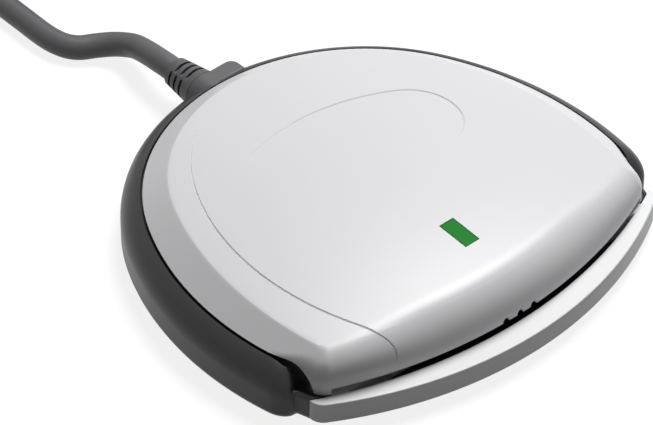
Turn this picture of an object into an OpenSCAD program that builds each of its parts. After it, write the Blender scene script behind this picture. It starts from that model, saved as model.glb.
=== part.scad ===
// Desktop smart card reader with its cable.
// Origin on the surface it stands on, below the middle of the case: +Z up, card slot towards -Y.

/* [Case] */
// Height of the reader at the top of its dome, feet included
case_h = 13; // [12.8:0.1:14]
// Radius of the shallow dome of the cover
dome_r = 200; // [180:5:240]
// Distance of the dome's highest point in front of the middle of the back curve
dome_front = 3.5; // [2.5:0.1:4.5]
// Radius of the back of the cover's outline
back_r = 29.8; // [29.4:0.1:31]
// Radius of the flatter sides of the cover's outline
side_r = 46.6; // [45:0.2:50]
// Angle from the X axis at which the back curve passes into the sides
turn_angle = 27.1; // [25:0.1:29]
// Radius of the gently bowed front face, seen from above
front_r = 69.6; // [66:0.2:76]
// Distance of the front face from the middle of the back curve
front_reach = 29.4; // [29:0.1:30]
// Radius of the two front corners of the cover
corner_r = 2; // [1.4:0.1:2.6]
// Wall thickness of the cover
wall = 1.8; // [1.5:0.1:1.9]
// Floor thickness of the base
floor_t = 1.6; // [1.4:0.1:1.8]
// Height of the seam between base and cover above the base's underside
seam_rise = 7.6; // [7.4:0.1:7.8]
// Slope of the band between the seam and the dome
band_angle = 36.5; // [32:0.5:40]
// Radius of the roll between the front face and the dome
roll_r = 5; // [4:0.1:5.4]
// Play between parts that fit into each other
fit = 0.1; // [0.05:0.01:0.12]

/* [Rim] */
// Distance that the base's rim stands out beyond the cover
rim_w = 3.05; // [2.8:0.05:3.4]
// Radius of the rim's rounded upper edge
rim_round = 3.8; // [3.4:0.1:4]
// Radius of the rim's lower edge
rim_low_round = 1; // [0.6:0.1:1.4]
// Radius of the rim's front ends, seen from above
rim_corner = 4.5; // [4.2:0.1:4.8]
// Distance in front of the middle at which the rim's top begins to fall
rim_end = 18.9; // [18:0.1:19.4]
// Radius of the rim's front ends, seen from the side
rim_end_round = 3.4; // [2.8:0.1:3.6]
// Width of the ledge under the cover's wall
ledge_w = 0.6; // [0.5:0.05:0.65]
// Width of the shadow groove round the cover
groove_w = 0.8; // [0.5:0.05:1]
// Depth of the shadow groove round the cover
groove_depth = 0.8; // [0.4:0.05:1]

/* [Card way] */
// Height of the card's way above the base's underside
card_lift = 4.05; // [3.95:0.05:4.1]
// Height of the card slot's mouth
slot_h = 0.95; // [0.92:0.01:1]
// Width of the card slot's mouth
slot_w = 55.8; // [55.2:0.1:56]
// Width of the card
card_w = 53.98; // [53.9:0.01:54.03]
// Thickness of the card
card_t = 0.76; // [0.72:0.01:0.8]
// Distance behind the middle at which the card is stopped
card_stop = 12; // [11.6:0.1:12]
// Radius of the lip's front edge, seen from above
lip_r = 57.2; // [54:0.2:60]
// Distance that the lip reaches beyond the front face
lip_reach = 3.45; // [3:0.05:3.8]
// Thickness of the lip
lip_t = 3.2; // [3:0.1:3.4]
// Half the width of the lip
lip_half = 30.7; // [30.4:0.1:31]
// Radius of the lip's corners
lip_corner = 2.2; // [2:0.1:2.6]

/* [Board and contacts] */
// Thickness of the connector's top plate
plate_t = 1.15; // [1.05:0.05:1.15]
// Thickness of the circuit board
board_t = 1.2; // [1:0.1:1.4]
// Width of the circuit board
board_w = 47; // [44:0.5:48]
// Distance between the card's leading edge and the rear contact row
rear_row = 11.25; // [11.1:0.01:11.4]
// Distance between the two contact rows
row_gap = 7.62; // [7.5:0.01:7.7]
// Distance between neighbouring contacts
contact_pitch = 2.54; // [2.5:0.01:2.6]
// Distance of the contacts' middle from the middle of the card
contact_off = 3.09; // [3:0.01:3.2]
// Length of a contact blade from its root to its tip
blade_len = 6.6; // [6.3:0.1:6.9]
// Width of a contact blade
blade_w = 1.1; // [0.9:0.05:1.2]
// Thickness of the sprung blades
blade_t = 0.25; // [0.2:0.01:0.28]
// Travel of the card switch's blade
switch_travel = 0.8; // [0.6:0.05:0.9]

/* [Fixings] */
// Diameter of the rubber feet
foot_d = 7; // [6:0.2:8]
// Distance that the feet stand below the base
foot_proud = 0.8; // [0.6:0.05:1]
// Thread diameter of the two case screws
case_screw_d = 2; // [1.8:0.1:2.2]
// Thread diameter of the two board screws
board_screw_d = 1.8; // [1.6:0.1:2]

/* [Cable] */
// Diameter of the cable
cable_d = 3.5; // [3.2:0.1:3.7]
// Diameter of the strain relief sleeve
relief_d = 4.6; // [4.4:0.1:5]
// Length of the strain relief sleeve
relief_len = 5.6; // [5:0.1:6.4]
// Half the length of the gland's bar
gland_half = 5.8; // [5.4:0.1:6.4]
// Distance that the gland's bar stands out beyond the rim
gland_out = 1.7; // [1.2:0.1:2.2]

/* [Plug] */
// Width of the plug's metal shell
shell_w = 12; // [11.8:0.1:12.2]
// Height of the plug's metal shell
shell_h = 4.5; // [4.4:0.1:4.7]
// Length of the plug's metal shell
shell_len = 11.75; // [11:0.25:12.5]
// Width of the plug's grip
grip_w = 15.6; // [14.8:0.2:16.4]
// Height of the plug's grip
grip_h = 8; // [7.6:0.2:8.4]
// Length of the plug's grip
grip_len = 19; // [16:0.5:21]
// Length of the plug's sleeve
boot_len = 9; // [7:0.5:10]

/* [Hidden] */
$fn = 120;
small_fn = 32;
span = 6 * case_h;
far = 3 * back_r;
cut = 1;
dome_steps = 10;
top_angle = 0.2;
dome_reach = 1.3 * back_r;
rim_steps = 4;
// Where two arcs of the outline meet, the smaller one stands out by this much
arc_step = 0.02;

// Heights
base_z = foot_proud;
floor_z = base_z + floor_t;
seam_z = base_z + seam_rise;
card_z = base_z + card_lift;
slot_z = card_z + slot_h;
plate_z = slot_z + fit / 2;
board_z = plate_z + plate_t;
board_top = board_z + board_t;
// Room for parts between the board and the middle of the cover
room_h = case_h - wall - board_top;

// Centres of the outline's arcs and of the front roll
front_c = [0, front_r - front_reach];
side_c = (back_r - side_r) * [cos(turn_angle), sin(turn_angle)];
roll_y = front_reach - roll_r;
roll_run = roll_y - dome_front;
roll_z = case_h - dome_r + sqrt(pow(dome_r - roll_r, 2) - pow(roll_run, 2));
roll_sin_share = roll_run / (dome_r - roll_r);

// Base and cover details
skirt_y = rim_end + 0.2 * rim_end_round;
inner_corner = corner_r / 3;
tongue_t = 0.9;
tongue_h = 1.3;
hook_w = 3;
hook_y = 15.5;
hook_h = 3.4;
hook_barb = 0.45;
hook_barb_h = 1;
notch_r = 0.55;
notch_places = [-2.5, 0, 2.45];
notch_rise = 0.15;
led_at = [-0.2, -17.9];
led_w = 2.5;
led_len = 5.1;
led_flange = 0.7;
led_flange_t = 0.8;
line_w = 0.3;
line_depth = 0.25;
post_y = 12;
rib_w = 1.6;
rib_len = 15;
rib_y = -10;
label_w = 30;
label_len = 16;
label_depth = 0.25;
label_y = -3;
foot_inset = 0.4;
foot_places = [[-21, -16.5], [21, -16.5], [-10.5, 24], [10.5, 24]];

// Screws
case_screw_at = [17.5, 17.2];
case_boss_r = 3.1;
case_boss_h = 2.8;
case_boss_z = floor_z + case_boss_h;
case_head_d = 2 * case_screw_d;
case_head_h = 0.7 * case_screw_d;
case_screw_len = 6.4;
board_screw_at = [11, 16.6];
board_boss_r = 2.3;
board_head_d = 2 * board_screw_d;
board_head_h = 0.6 * board_screw_d;
board_screw_len = 4.6;
thread_bite = 0.15;

// Card connector
rail_lip_h = 0.75;
frame_z = card_z - fit - rail_lip_h;
frame_front = 17.4;
card_side_play = 0.2;
rail_x = card_w / 2 + card_side_play;
lip_in = 1.5;
rail_gap = 0.5;
rail_front = post_y - rail_gap;
stop_half = 24;
stop_t = 1.6;
way_play = 0.25;
way_w = blade_w + 2 * way_play;
tail_w = 1;
tail_len = 2.1;
pin_w = 0.6;
pin_back = 1.2;
pin_proud = 0.8;
root_rise = 0.35;
root_z = plate_z + root_rise;
tip_gap = 0.15;
tip_z = card_z + tip_gap;
tip_rise = 0.5;
tip_run = 0.7;
root_run = 1.2;
heel_share = 0.85;
rear_tip_y = card_stop - rear_row;
front_tip_y = rear_tip_y - row_gap;
rear_root_y = rear_tip_y + blade_len;
front_root_y = front_tip_y - blade_len;
contact_xs = [for (i = [-1.5:1:1.5]) contact_off + i * contact_pitch];

// Card switch
switch_pivot = [18, card_stop + blade_t / 2];
switch_len = 8;
switch_angle = asin(switch_travel / switch_len);
switch_z = card_z + fit;
switch_h = plate_z - switch_z - fit;
switch_post = 1;
fixed_len = 3;
fixed_y = card_stop + blade_t + fit;

// Board outline and what stands on it
board_front = 23;
board_back = 19;
board_inset = 4.4;
board_round = 28;
tail_board_half = 13.4;
chip_at = [4, 1.6];
chip_size = [7, 7, 1.2];
leg_w = 0.35;
leg_t = 0.15;
leg_out = 1;
leg_pitch = 0.8;
leg_n = 8;
crystal_at = [13.5, -8];
crystal_size = [4.2, 10.2, 0.63 * room_h];
crystal_base_h = 0.5;
can_at = [-9.5, 6];
can_d = 4;
can_h = 0.77 * room_h;
can_foot = [4.3, 4.3, 0.5];
capacitor_size = [2, 1.25, 0.9];
resistor_size = [1.6, 0.8, 0.5];
// Places on the board as shares of its width
capacitor_shares = [
    [-0.056, 0.094], [-0.056, -0.034], [0.236, 0.096], [0.2, -0.302], [-0.298, -0.17], [-0.298, -0.234]
];
resistor_shares = [
    [-0.128, -0.415], [-0.128, -0.372], [-0.192, -0.415], [0.236, 0.034], [0.236, -0.009],
    [-0.34, 0.043], [-0.34, 0.085]
];
led_chip_size = [1.6, 3.2, 1];

// Cable entry
cable_rise = 4.5;
cable_z = base_z + cable_rise;
header_half = 4.9;
header_front = 14.2;
header_back = 18.4;
header_wall = 0.7;
pins_y = header_front + 1.2;
wire_pitch = 2;
wire_d = 0.9;
terminal_w = 1;
crimp_len = 4.4;
crimp_half = header_half - header_wall - fit;
crimp_h = 2;
jacket_y = 25.8;
neck_half = 3.6;
neck_y = 27.2;
flange_half = 4.8;
flange_t = 1;
bar_h = 3.2;
bar_round = 1.4;
bar_drop = 0.2;
bar_z = seam_z - bar_drop - bar_h;
bar_y = back_r + groove_w + fit;
relief_gap = 0.5;
relief_y = back_r + rim_w + relief_gap;
relief_tip = relief_y + relief_len;
collar_t = 0.5;
collar_r = relief_d / 2 + collar_t;
slit_w = 0.55;
slit_n = 3;
slit_angle = 70;

// Free stretch of the cable, from the rim through the sleeve to the coil
stretch_points = [
    [0, back_r + rim_w, cable_z], [0, relief_tip, cable_z], [0, 40.5, cable_z],
    [0.1, 42.5, 5.1], [0.4, 45, 4.6], [0.8, 48, 3.7], [0.6, 50, 3], [-0.3, 52, 2.4],
    [-1.9, 53.7, 2], [-3.6, 55, 1.8], [-4.7, 56.5, 1.75], [-5.3, 58.5, 1.75],
    [-5.5, 61, 1.75], [-5.4, 65, 1.75], [-5.3, 70, 1.75], [-5.3, 76, 1.8],
    [-5.3, 82, 2.2], [-5.3, 88.5, 2.25]
];

// Put-away length of the cable: two layers of turns, spiralling in and out again
coil_turns = 10.5;
coil_rings = 24;
coil_sides = 6;
stretch_sides = 8;
coil_gap = 0.45;
coil_pitch = cable_d + coil_gap;
coil_outer = 30.5;
coil_half = coil_turns / 2;
climb_share = 0.25;
coil_start = stretch_points[len(stretch_points) - 1];
coil_at = [coil_start.x + coil_outer, coil_start.y + cable_d];
coil_z = coil_start.z;
tail_run = 20;
tail_hold = 5;
tail_drop_run = 14;
tail_steps = 10;
plug_z = grip_h / 2;
tie_w = 4;
tie_t = 0.4;
tie_gap = 0.05;

// Plug
plug_at = [coil_at.x + coil_outer, coil_at.y - tail_run - cable_d];
boot_r = 3.2;
boot_tip_r = cable_d / 2 + collar_t;
boot_rib = 0.4;
boot_rib_n = 3;
grip_round = 2.2;
grip_neck = 2.5;
grip_neck_in = 0.9;
shell_t = 0.3;
tongue_w = shell_w - 2 * shell_t - 2 * fit;
plug_tongue_t = 1.9;
tongue_back = 0.8;
usb_pad_w = 1.1;
usb_pad_t = 0.15;
usb_pad_len = 7.4;
usb_pads = [-3.5, -1.1, 1.1, 3.5];

// Shared shapes

module block(a, b) {
    translate(a)
        cube(b - a);
}

module mirrored() {
    children();
    mirror([1, 0, 0])
        children();
}

// Middle of the circle of radius r that touches the side arc and the front arc from inside
function corner_c(grow, front_grow, r) =
    let (
        apart = front_c - side_c,
        d = norm(apart),
        along = apart / d,
        side = side_r + grow - r,
        front = front_r + front_grow - r,
        run = (side * side - front * front + d * d) / (2 * d),
        off = sqrt(side * side - run * run)
    )
    side_c + run * along + off * [along.y, -along.x];

module back_wedge() {
    across = far * cos(turn_angle);
    up = far * sin(turn_angle);
    linear_extrude(2 * span, center = true)
        polygon([[0, 0], [across, up], [across, 2 * far], [-across, 2 * far], [-across, up]]);
}

module corner_wedge(c) {
    to_side = far * (c - side_c) / norm(c - side_c);
    to_front = far * (c - front_c) / norm(c - front_c);
    linear_extrude(2 * span, center = true)
        polygon([c, c + to_front, c + to_front + to_side, c + to_side]);
}

// A solid on the case's outline, grown or shrunk: the child is a turned form of radius $r
module on_outline(grow, front_grow, corner) {
    c = corner_c(grow, front_grow, corner);
    intersection() {
        let ($r = back_r + grow + arc_step) children();
        back_wedge();
    }
    difference() {
        intersection() {
            translate(side_c)
                let ($r = side_r + grow) children();
            mirror([1, 0, 0])
                translate(side_c)
                    let ($r = side_r + grow) children();
            translate(front_c)
                cylinder(h = 2 * span, r = front_r + front_grow, center = true);
        }
        back_wedge();
        mirrored()
            corner_wedge(c);
    }
    mirrored()
        intersection() {
            translate(c)
                let ($r = corner + arc_step) children();
            corner_wedge(c);
        }
}

// Upright slab on the outline between two heights
module slab(grow, front_grow, corner, z0, z1) {
    on_outline(grow, front_grow, corner)
        translate([0, 0, z0])
            cylinder(h = z1 - z0, r = $r);
}

// The dome, turned from a profile of short straight steps, with a tiny flat at its top
module dome(r) {
    half_angle = asin(dome_reach / r);
    low = case_h - dome_r;
    translate([0, -dome_front, 0])
        rotate_extrude()
            polygon(concat([[0, 0], [dome_reach, 0]], [
                for (i = [0:dome_steps])
                    let (a = top_angle + (half_angle - top_angle) * (1 - i / dome_steps))
                    [r * sin(a), low + r * cos(a)]
            ], [[0, low + r * cos(top_angle)]]));
}

// Cones of the sloped band, moved in by inset
module band(inset) {
    low = card_z - cut;
    high = case_h + cut;
    module cone(r) {
        translate([0, 0, low])
            cylinder(
                h = high - low,
                r1 = r - inset + (seam_z - low) / tan(band_angle),
                r2 = r - inset - (high - seam_z) / tan(band_angle)
            );
    }
    intersection() {
        cone(back_r);
        back_wedge();
    }
    difference() {
        intersection() {
            translate(side_c)
                cone(side_r);
            mirror([1, 0, 0])
                translate(side_c)
                    cone(side_r);
        }
        back_wedge();
    }
}

// Front face with its roll into the dome, moved in by inset
module front_roll(inset) {
    r = roll_r - inset;
    translate(front_c)
        rotate_extrude() {
            square([front_r - inset, roll_z]);
            square([front_r - roll_r + r * roll_sin_share, case_h + cut]);
            translate([front_r - roll_r, roll_z])
                circle(r);
        }
}

// Round bar along +Y
module rod(x, y0, y1, z, r, sides = small_fn) {
    translate([x, y0, z])
        rotate([-90, 0, 0])
            cylinder(h = y1 - y0, r = r, $fn = sides);
}

// Tube swept along a path, with its rings square to it
function path_way(path, i) =
    let (
        a = path[max(i - 1, 0)],
        b = path[min(i + 1, len(path) - 1)]
    )
    (b - a) / norm(b - a);

module tube(path, r, sides) {
    n = len(path);
    points = [
        for (i = [0:n - 1])
            let (
                way = path_way(path, i),
                right = cross(way, [0, 0, 1]) / norm(cross(way, [0, 0, 1])),
                top = cross(right, way)
            )
            for (k = [0:sides - 1])
                let (a = 360 * (k + 0.5) / sides)
                path[i] + r * (right * sin(a) + top * cos(a))
    ];
    skin = [
        for (i = [0:n - 2], k = [0:sides - 1])
            let (
                a = i * sides + k,
                b = i * sides + (k + 1) % sides
            )
            each [[a, a + sides, b], [b, a + sides, b + sides]]
    ];
    ends = [
        for (k = [1:sides - 2])
            each [[0, k, k + 1], [(n - 1) * sides, (n - 1) * sides + k + 1, (n - 1) * sides + k]]
    ];
    polyhedron(points, concat(skin, ends));
}

function path_length(path) =
    let (steps = [for (i = [1:len(path) - 1]) norm(path[i] - path[i - 1])])
    steps * [for (step = steps) 1];

// Case

// Engraved line: an arc on the dome
module line_arc(at, r, a0, a1) {
    translate(at)
        rotate_extrude(angle = a1 - a0, start = a0)
            translate([r - line_w / 2, seam_z])
                square([line_w, case_h]);
}

module engraved_lines() {
    long_c = [14.1, -6.2];
    long_r = 38.2;
    join = 147;
    line_gap = 0.8;
    end_r = 25.4;
    end_c = long_c + (long_r - end_r) * [cos(join), sin(join)];
    hook_c = [10.4, 2.9];
    hook_r = 7.25;
    hook_join = 60;
    top_r = 31.3;
    top_c = hook_c - (top_r - hook_r) * [cos(hook_join), sin(hook_join)];
    difference() {
        union() {
            line_arc(long_c, long_r, join, 207);
            line_arc(end_c, end_r, 118, join - line_gap);
            line_arc(hook_c, hook_r, -71, hook_join - 3 * line_gap);
            line_arc(top_c, top_r, hook_join, 108);
        }
        dome(dome_r - line_depth);
    }
}

module cover_outside() {
    difference() {
        intersection() {
            slab(0, 0, corner_r, card_z, case_h + cut);
            band(0);
            dome(dome_r);
            front_roll(0);
        }
        block([-far, -skirt_y, 0], [far, far, seam_z]);
        block([-slot_w / 2, -far, 0], [slot_w / 2, -skirt_y + cut, slot_z]);
    }
}

module cover_inside() {
    intersection() {
        slab(-wall, -wall, inner_corner, 0, case_h + cut);
        band(wall / sin(band_angle));
        dome(dome_r - wall);
        front_roll(wall);
    }
}

// Tongue under the cover's wall, between two heights
module cover_tongue(z0, z1, out) {
    difference() {
        slab(-ledge_w - fit + out, -ledge_w, inner_corner, z0, z1);
        slab(-ledge_w - fit - tongue_t, -ledge_w - tongue_t, inner_corner, z0 - cut, z1 + cut);
    }
}

module hook_zone(play, z0, z1) {
    block([-far, -hook_y - hook_w / 2 - play, z0], [far, -hook_y + hook_w / 2 + play, z1]);
}

module top_cover() {
    color("gainsboro")
        difference() {
            union() {
                difference() {
                    cover_outside();
                    cover_inside();
                }
                intersection() {
                    cover_tongue(seam_z - tongue_h, seam_z + ledge_w, 0);
                    block([-far, -skirt_y, 0], [far, far, case_h]);
                }
                intersection() {
                    cover_tongue(seam_z - hook_h, seam_z, 0);
                    hook_zone(0, 0, seam_z);
                }
                intersection() {
                    cover_tongue(seam_z - hook_h, seam_z, hook_barb);
                    hook_zone(0, seam_z - hook_h, seam_z - hook_h + hook_barb_h);
                }
                intersection() {
                    mirrored()
                        translate([case_screw_at.x, case_screw_at.y, case_boss_z])
                            cylinder(h = case_h, r = case_boss_r - fit, $fn = small_fn);
                    dome(dome_r - wall / 2);
                    band(wall / 2);
                }
            }
            mirrored()
                translate([case_screw_at.x, case_screw_at.y, case_boss_z - cut])
                    cylinder(h = case_screw_len, d = case_screw_d - thread_bite, $fn = small_fn);
            translate([led_at.x - led_w / 2, led_at.y - led_len / 2, seam_z])
                cube([led_w, led_len, case_h]);
            for (x = notch_places)
                rod(x, -front_reach - cut, -front_reach + 2 * wall, slot_z + notch_rise, notch_r);
            engraved_lines();
        }
}

module rim_form() {
    on_outline(rim_w, 0, rim_corner)
        rotate_extrude()
            polygon(concat(
                [[0, base_z], [$r - rim_low_round, base_z], [$r, base_z + rim_low_round]],
                [
                    for (a = [0:90 / rim_steps:90])
                        [$r - rim_round * (1 - cos(a)), seam_z - rim_round * (1 - sin(a))]
                ],
                [[0, seam_z]]
            ));
}

// What the rim keeps, seen from the side: its top rounds down at the front
module rim_side_view() {
    rotate([90, 0, 90])
        linear_extrude(2 * far, center = true) {
            translate([-rim_end, 0])
                square([far, seam_z]);
            translate([-far, 0])
                square([2 * far, seam_z - rim_end_round]);
            translate([-rim_end, seam_z - rim_end_round])
                circle(rim_end_round, $fn = 2 * small_fn);
        }
}

module screw_post(at, r, z0, z1) {
    mirrored()
        translate([at.x, at.y, z0])
            cylinder(h = z1 - z0, r = r, $fn = small_fn);
}

module base_walls() {
    difference() {
        intersection() {
            rim_form();
            rim_side_view();
        }
        slab(-ledge_w, -wall, inner_corner, floor_z, seam_z + cut);
        difference() {
            slab(groove_w, groove_w, corner_r, seam_z - groove_depth, seam_z + cut);
            slab(0, 0, corner_r, 0, case_h);
        }
        intersection() {
            slab(fit, rim_w, corner_r, card_z, seam_z + cut);
            block([-far, -far, 0], [far, -skirt_y + fit, seam_z + cut]);
        }
        block([-slot_w / 2, -far, floor_z], [slot_w / 2, -post_y, seam_z + cut]);
        intersection() {
            cover_tongue(seam_z - hook_h - fit, seam_z, hook_barb + fit);
            hook_zone(fit, seam_z - hook_h - fit, seam_z - hook_h + hook_barb_h + fit);
        }
    }
}

module base_ribs() {
    intersection() {
        slab(-ledge_w / 2, -wall, inner_corner, base_z, seam_z);
        union() {
            mirrored() {
                block([slot_w / 2, -far, base_z], [far, -post_y, card_z]);
                block([rail_x, rib_y, base_z], [rail_x + rib_w, rib_y + rib_len, frame_z]);
            }
            block(
                [-stop_half + rib_w, card_stop, base_z],
                [stop_half - rib_w, card_stop + stop_t, frame_z]
            );
            screw_post(board_screw_at, board_boss_r, base_z, board_z);
            screw_post(case_screw_at, case_boss_r, base_z, case_boss_z);
        }
    }
}

module base_shell() {
    color([0.16, 0.16, 0.18])
        difference() {
            union() {
                base_walls();
                base_ribs();
            }
            gland_body(fit);
            rod(0, 0, far, cable_z, collar_r + fit);
            for (at = foot_places)
                translate([at.x, at.y, base_z])
                    translate([0, 0, -cut])
                        cylinder(h = foot_inset + cut, d = foot_d + 2 * fit);
            block(
                [-label_w / 2, label_y - label_len / 2, 0],
                [label_w / 2, label_y + label_len / 2, base_z + label_depth]
            );
            screw_post(case_screw_at, case_head_d / 2 + fit, 0, base_z + 1.5 * case_head_h);
            screw_post(case_screw_at, case_screw_d / 2 + fit, 0, seam_z);
            screw_post(
                board_screw_at, (board_screw_d - thread_bite) / 2,
                board_z - board_screw_len, board_z + cut
            );
        }
}

module card_shelf() {
    lip_c = [0, lip_r - front_reach - lip_reach];
    inner_r = lip_r - lip_corner;
    round_x = lip_half - lip_corner;
    round_c = [round_x, lip_c.y - sqrt(inner_r * inner_r - round_x * round_x)];
    to_front = far * (round_c - lip_c) / inner_r;
    color([0.88, 0.88, 0.89]) {
        difference() {
            union() {
                difference() {
                    intersection() {
                        translate([0, lip_c.y, card_z - lip_t])
                            cylinder(h = lip_t, r = lip_r);
                        block([-lip_half, -far, 0], [lip_half, round_c.y + 2 * lip_corner, card_z]);
                    }
                    mirrored()
                        linear_extrude(span, center = true)
                            polygon([
                                round_c, round_c + to_front,
                                round_c + to_front + [far, 0], round_c + [far, 0]
                            ]);
                }
                mirrored()
                    translate([round_c.x, round_c.y, card_z - lip_t])
                        cylinder(h = lip_t, r = lip_corner);
            }
            translate(front_c)
                cylinder(h = span, r = front_r + fit, center = true);
        }
        intersection() {
            block([-slot_w / 2 + fit, -far, floor_z], [slot_w / 2 - fit, -post_y, card_z]);
            translate(lip_c)
                cylinder(h = span, r = lip_r, center = true);
        }
    }
}

module led_window() {
    color([0.1, 0.65, 0.28])
        union() {
            intersection() {
                translate([led_at.x - led_w / 2 + fit / 2, led_at.y - led_len / 2 + fit / 2, seam_z])
                    cube([led_w - fit, led_len - fit, case_h]);
                dome(dome_r);
                difference() {
                    dome(dome_r + cut);
                    dome(dome_r - wall - fit - led_flange_t);
                }
            }
            intersection() {
                translate([led_at.x - led_w / 2 - led_flange, led_at.y - led_len / 2 - led_flange, seam_z])
                    cube([led_w + 2 * led_flange, led_len + 2 * led_flange, case_h]);
                difference() {
                    dome(dome_r - wall - fit);
                    dome(dome_r - wall - fit - led_flange_t);
                }
            }
        }
}

module rubber_feet() {
    color([0.1, 0.1, 0.1])
        for (at = foot_places)
            translate(at)
                cylinder(h = foot_proud + foot_inset, d = foot_d);
}

// Head at z, thread upwards or downwards
module screw(d, head_d, head_h, length) {
    socket = 0.5 * head_d;
    difference() {
        union() {
            cylinder(h = head_h, d = head_d, $fn = small_fn);
            translate([0, 0, head_h])
                cylinder(h = length, d = d, $fn = small_fn);
        }
        for (turn = [0, 90])
            rotate(turn)
                cube([socket, 0.2 * socket * 2, head_h], center = true);
    }
}

module case_screws() {
    color("silver")
        mirrored()
            translate([case_screw_at.x, case_screw_at.y, base_z + 0.5 * case_head_h])
                screw(case_screw_d - 2 * thread_bite, case_head_d, case_head_h, case_screw_len);
}

module board_screws() {
    color("silver")
        mirrored()
            translate([board_screw_at.x, board_screw_at.y, board_top + board_head_h])
                mirror([0, 0, 1])
                    screw(board_screw_d - 2 * thread_bite, board_head_d, board_head_h, board_screw_len);
}

// Card connector and switch

module pin_at(x, y, play, z0, z1) {
    half = pin_w / 2 + play;
    block([x - half, y - half, z0], [x + half, y + half, z1]);
}

// Solder pins of the connector: each contact's, the switch blade's and its partner's
pin_places = concat(
    [for (x = contact_xs) [x, front_root_y - pin_back]],
    [for (x = contact_xs) [x, rear_root_y + pin_back]],
    [[switch_pivot.x + fit + switch_post / 2, card_stop + switch_post / 2]],
    [[switch_pivot.x - switch_len + fixed_len / 2, fixed_y + blade_t / 2]]
);

// Way of a blade through the plate, and the seat of its tail
module blade_way(root, tip, sense) {
    for (x = contact_xs) {
        end = tip + sense * (tip_run + fit);
        block([x - way_w / 2, min(root, end), 0], [x + way_w / 2, max(root, end), board_z + cut]);
        back = root - sense * (tail_len + fit);
        block(
            [x - tail_w / 2 - fit, min(root, back), 0],
            [x + tail_w / 2 + fit, max(root, back), board_z + cut]
        );
    }
}

module connector_frame() {
    color([0.12, 0.12, 0.13])
        difference() {
            intersection() {
                slab(-ledge_w - fit - tongue_t - fit, -wall - fit, inner_corner, frame_z, board_z);
                union() {
                    block([-far, -frame_front, plate_z], [far, card_stop + stop_t, board_z]);
                    mirrored() {
                        block([rail_x, -rail_front, frame_z], [rail_x + rib_w, card_stop + stop_t, board_z]);
                        block(
                            [rail_x - lip_in, -rail_front, frame_z],
                            [rail_x + rib_w, card_stop, card_z - fit]
                        );
                    }
                    block([-stop_half, card_stop, frame_z], [stop_half, card_stop + stop_t, board_z]);
                }
            }
            blade_way(front_root_y, front_tip_y, 1);
            blade_way(rear_root_y, rear_tip_y, -1);
            block(
                [switch_pivot.x - switch_len - 2 * fit, card_stop - cut, frame_z + 2 * fit],
                [switch_pivot.x + 2 * fit + switch_post, fixed_y + blade_t, plate_z]
            );
            for (at = [pin_places[8], pin_places[9]])
                pin_at(at.x, at.y, fit, 0, board_z + cut);
        }
}

// Outline of a blade, seen from the side: a strip along its run, tip bent up
module blade() {
    run = [
        [0, root_z], [root_run, root_z], [heel_share * blade_len, tip_z + 0.3 * tip_rise],
        [blade_len, tip_z], [blade_len + tip_run, tip_z + tip_rise]
    ];
    last = len(run) - 1;
    rotate([90, 0, 90])
        linear_extrude(blade_w, center = true)
            polygon(concat(run, [for (i = [last:-1:0]) run[i] + [0, blade_t]]));
}

module contacts_front() {
    color("gold")
        for (x = contact_xs)
            translate([x, front_root_y, 0])
                blade();
}

module contacts_rear() {
    color("gold")
        for (x = contact_xs)
            translate([x, rear_root_y, 0])
                mirror([0, 1, 0])
                    blade();
}

module tail(x, root, sense) {
    a = root - sense * fit;
    b = root - sense * tail_len;
    block([x - tail_w / 2, min(a, b), plate_z + fit], [x + tail_w / 2, max(a, b), board_z]);
}

module contact_tails() {
    color("goldenrod") {
        for (x = contact_xs) {
            tail(x, front_root_y, 1);
            tail(x, rear_root_y, -1);
        }
        for (i = [0:8])
            pin_at(pin_places[i].x, pin_places[i].y, 0, board_z - fit, board_top + pin_proud);
        post = pin_places[8];
        block(
            [post.x - switch_post / 2, card_stop, switch_z],
            [post.x + switch_post / 2, fixed_y + blade_t - fit, plate_z]
        );
        pin_at(post.x, post.y, 0, switch_z, board_z);
    }
}

module detect_lever() {
    color("gold")
        translate([switch_pivot.x, switch_pivot.y, switch_z])
            rotate(switch_angle)
                block([-switch_len, -blade_t / 2, 0], [0, blade_t / 2, switch_h]);
}

module detect_contact() {
    at = pin_places[9];
    color("goldenrod") {
        block(
            [switch_pivot.x - switch_len, fixed_y, switch_z],
            [switch_pivot.x - switch_len + fixed_len, fixed_y + blade_t, plate_z]
        );
        block(
            [at.x - pin_w / 2, fixed_y, switch_z],
            [at.x + pin_w / 2, fixed_y + blade_t, board_top + pin_proud]
        );
    }
}

// Board

header_pin_xs = [for (i = [-1.5:1:1.5]) i * wire_pitch];

module circuit_board() {
    color([0.1, 0.38, 0.2])
        difference() {
            intersection() {
                slab(-board_inset, -board_inset, inner_corner, board_z, board_top);
                cylinder(h = span, r = board_round);
                union() {
                    block([-board_w / 2, -board_front, 0], [board_w / 2, card_stop, span]);
                    block([-tail_board_half, -board_front, 0], [tail_board_half, board_back, span]);
                }
            }
            for (at = pin_places)
                pin_at(at.x, at.y, fit, 0, span);
            for (x = header_pin_xs)
                pin_at(x, pins_y, fit, 0, span);
            screw_post(board_screw_at, board_screw_d / 2 + fit, 0, span);
        }
}

module on_board(at) {
    translate([at.x, at.y, board_top])
        children();
}

module box_on_board(at, size) {
    on_board(at)
        translate([-size.x / 2, -size.y / 2, 0])
            cube(size);
}

module reader_chip() {
    color([0.1, 0.1, 0.11])
        on_board(chip_at)
            difference() {
                translate([-chip_size.x / 2, -chip_size.y / 2, leg_t])
                    cube(chip_size);
                translate([-0.36 * chip_size.x, 0.36 * chip_size.y, chip_size.z])
                    cylinder(h = chip_size.z, r = leg_w, $fn = small_fn);
            }
}

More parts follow.
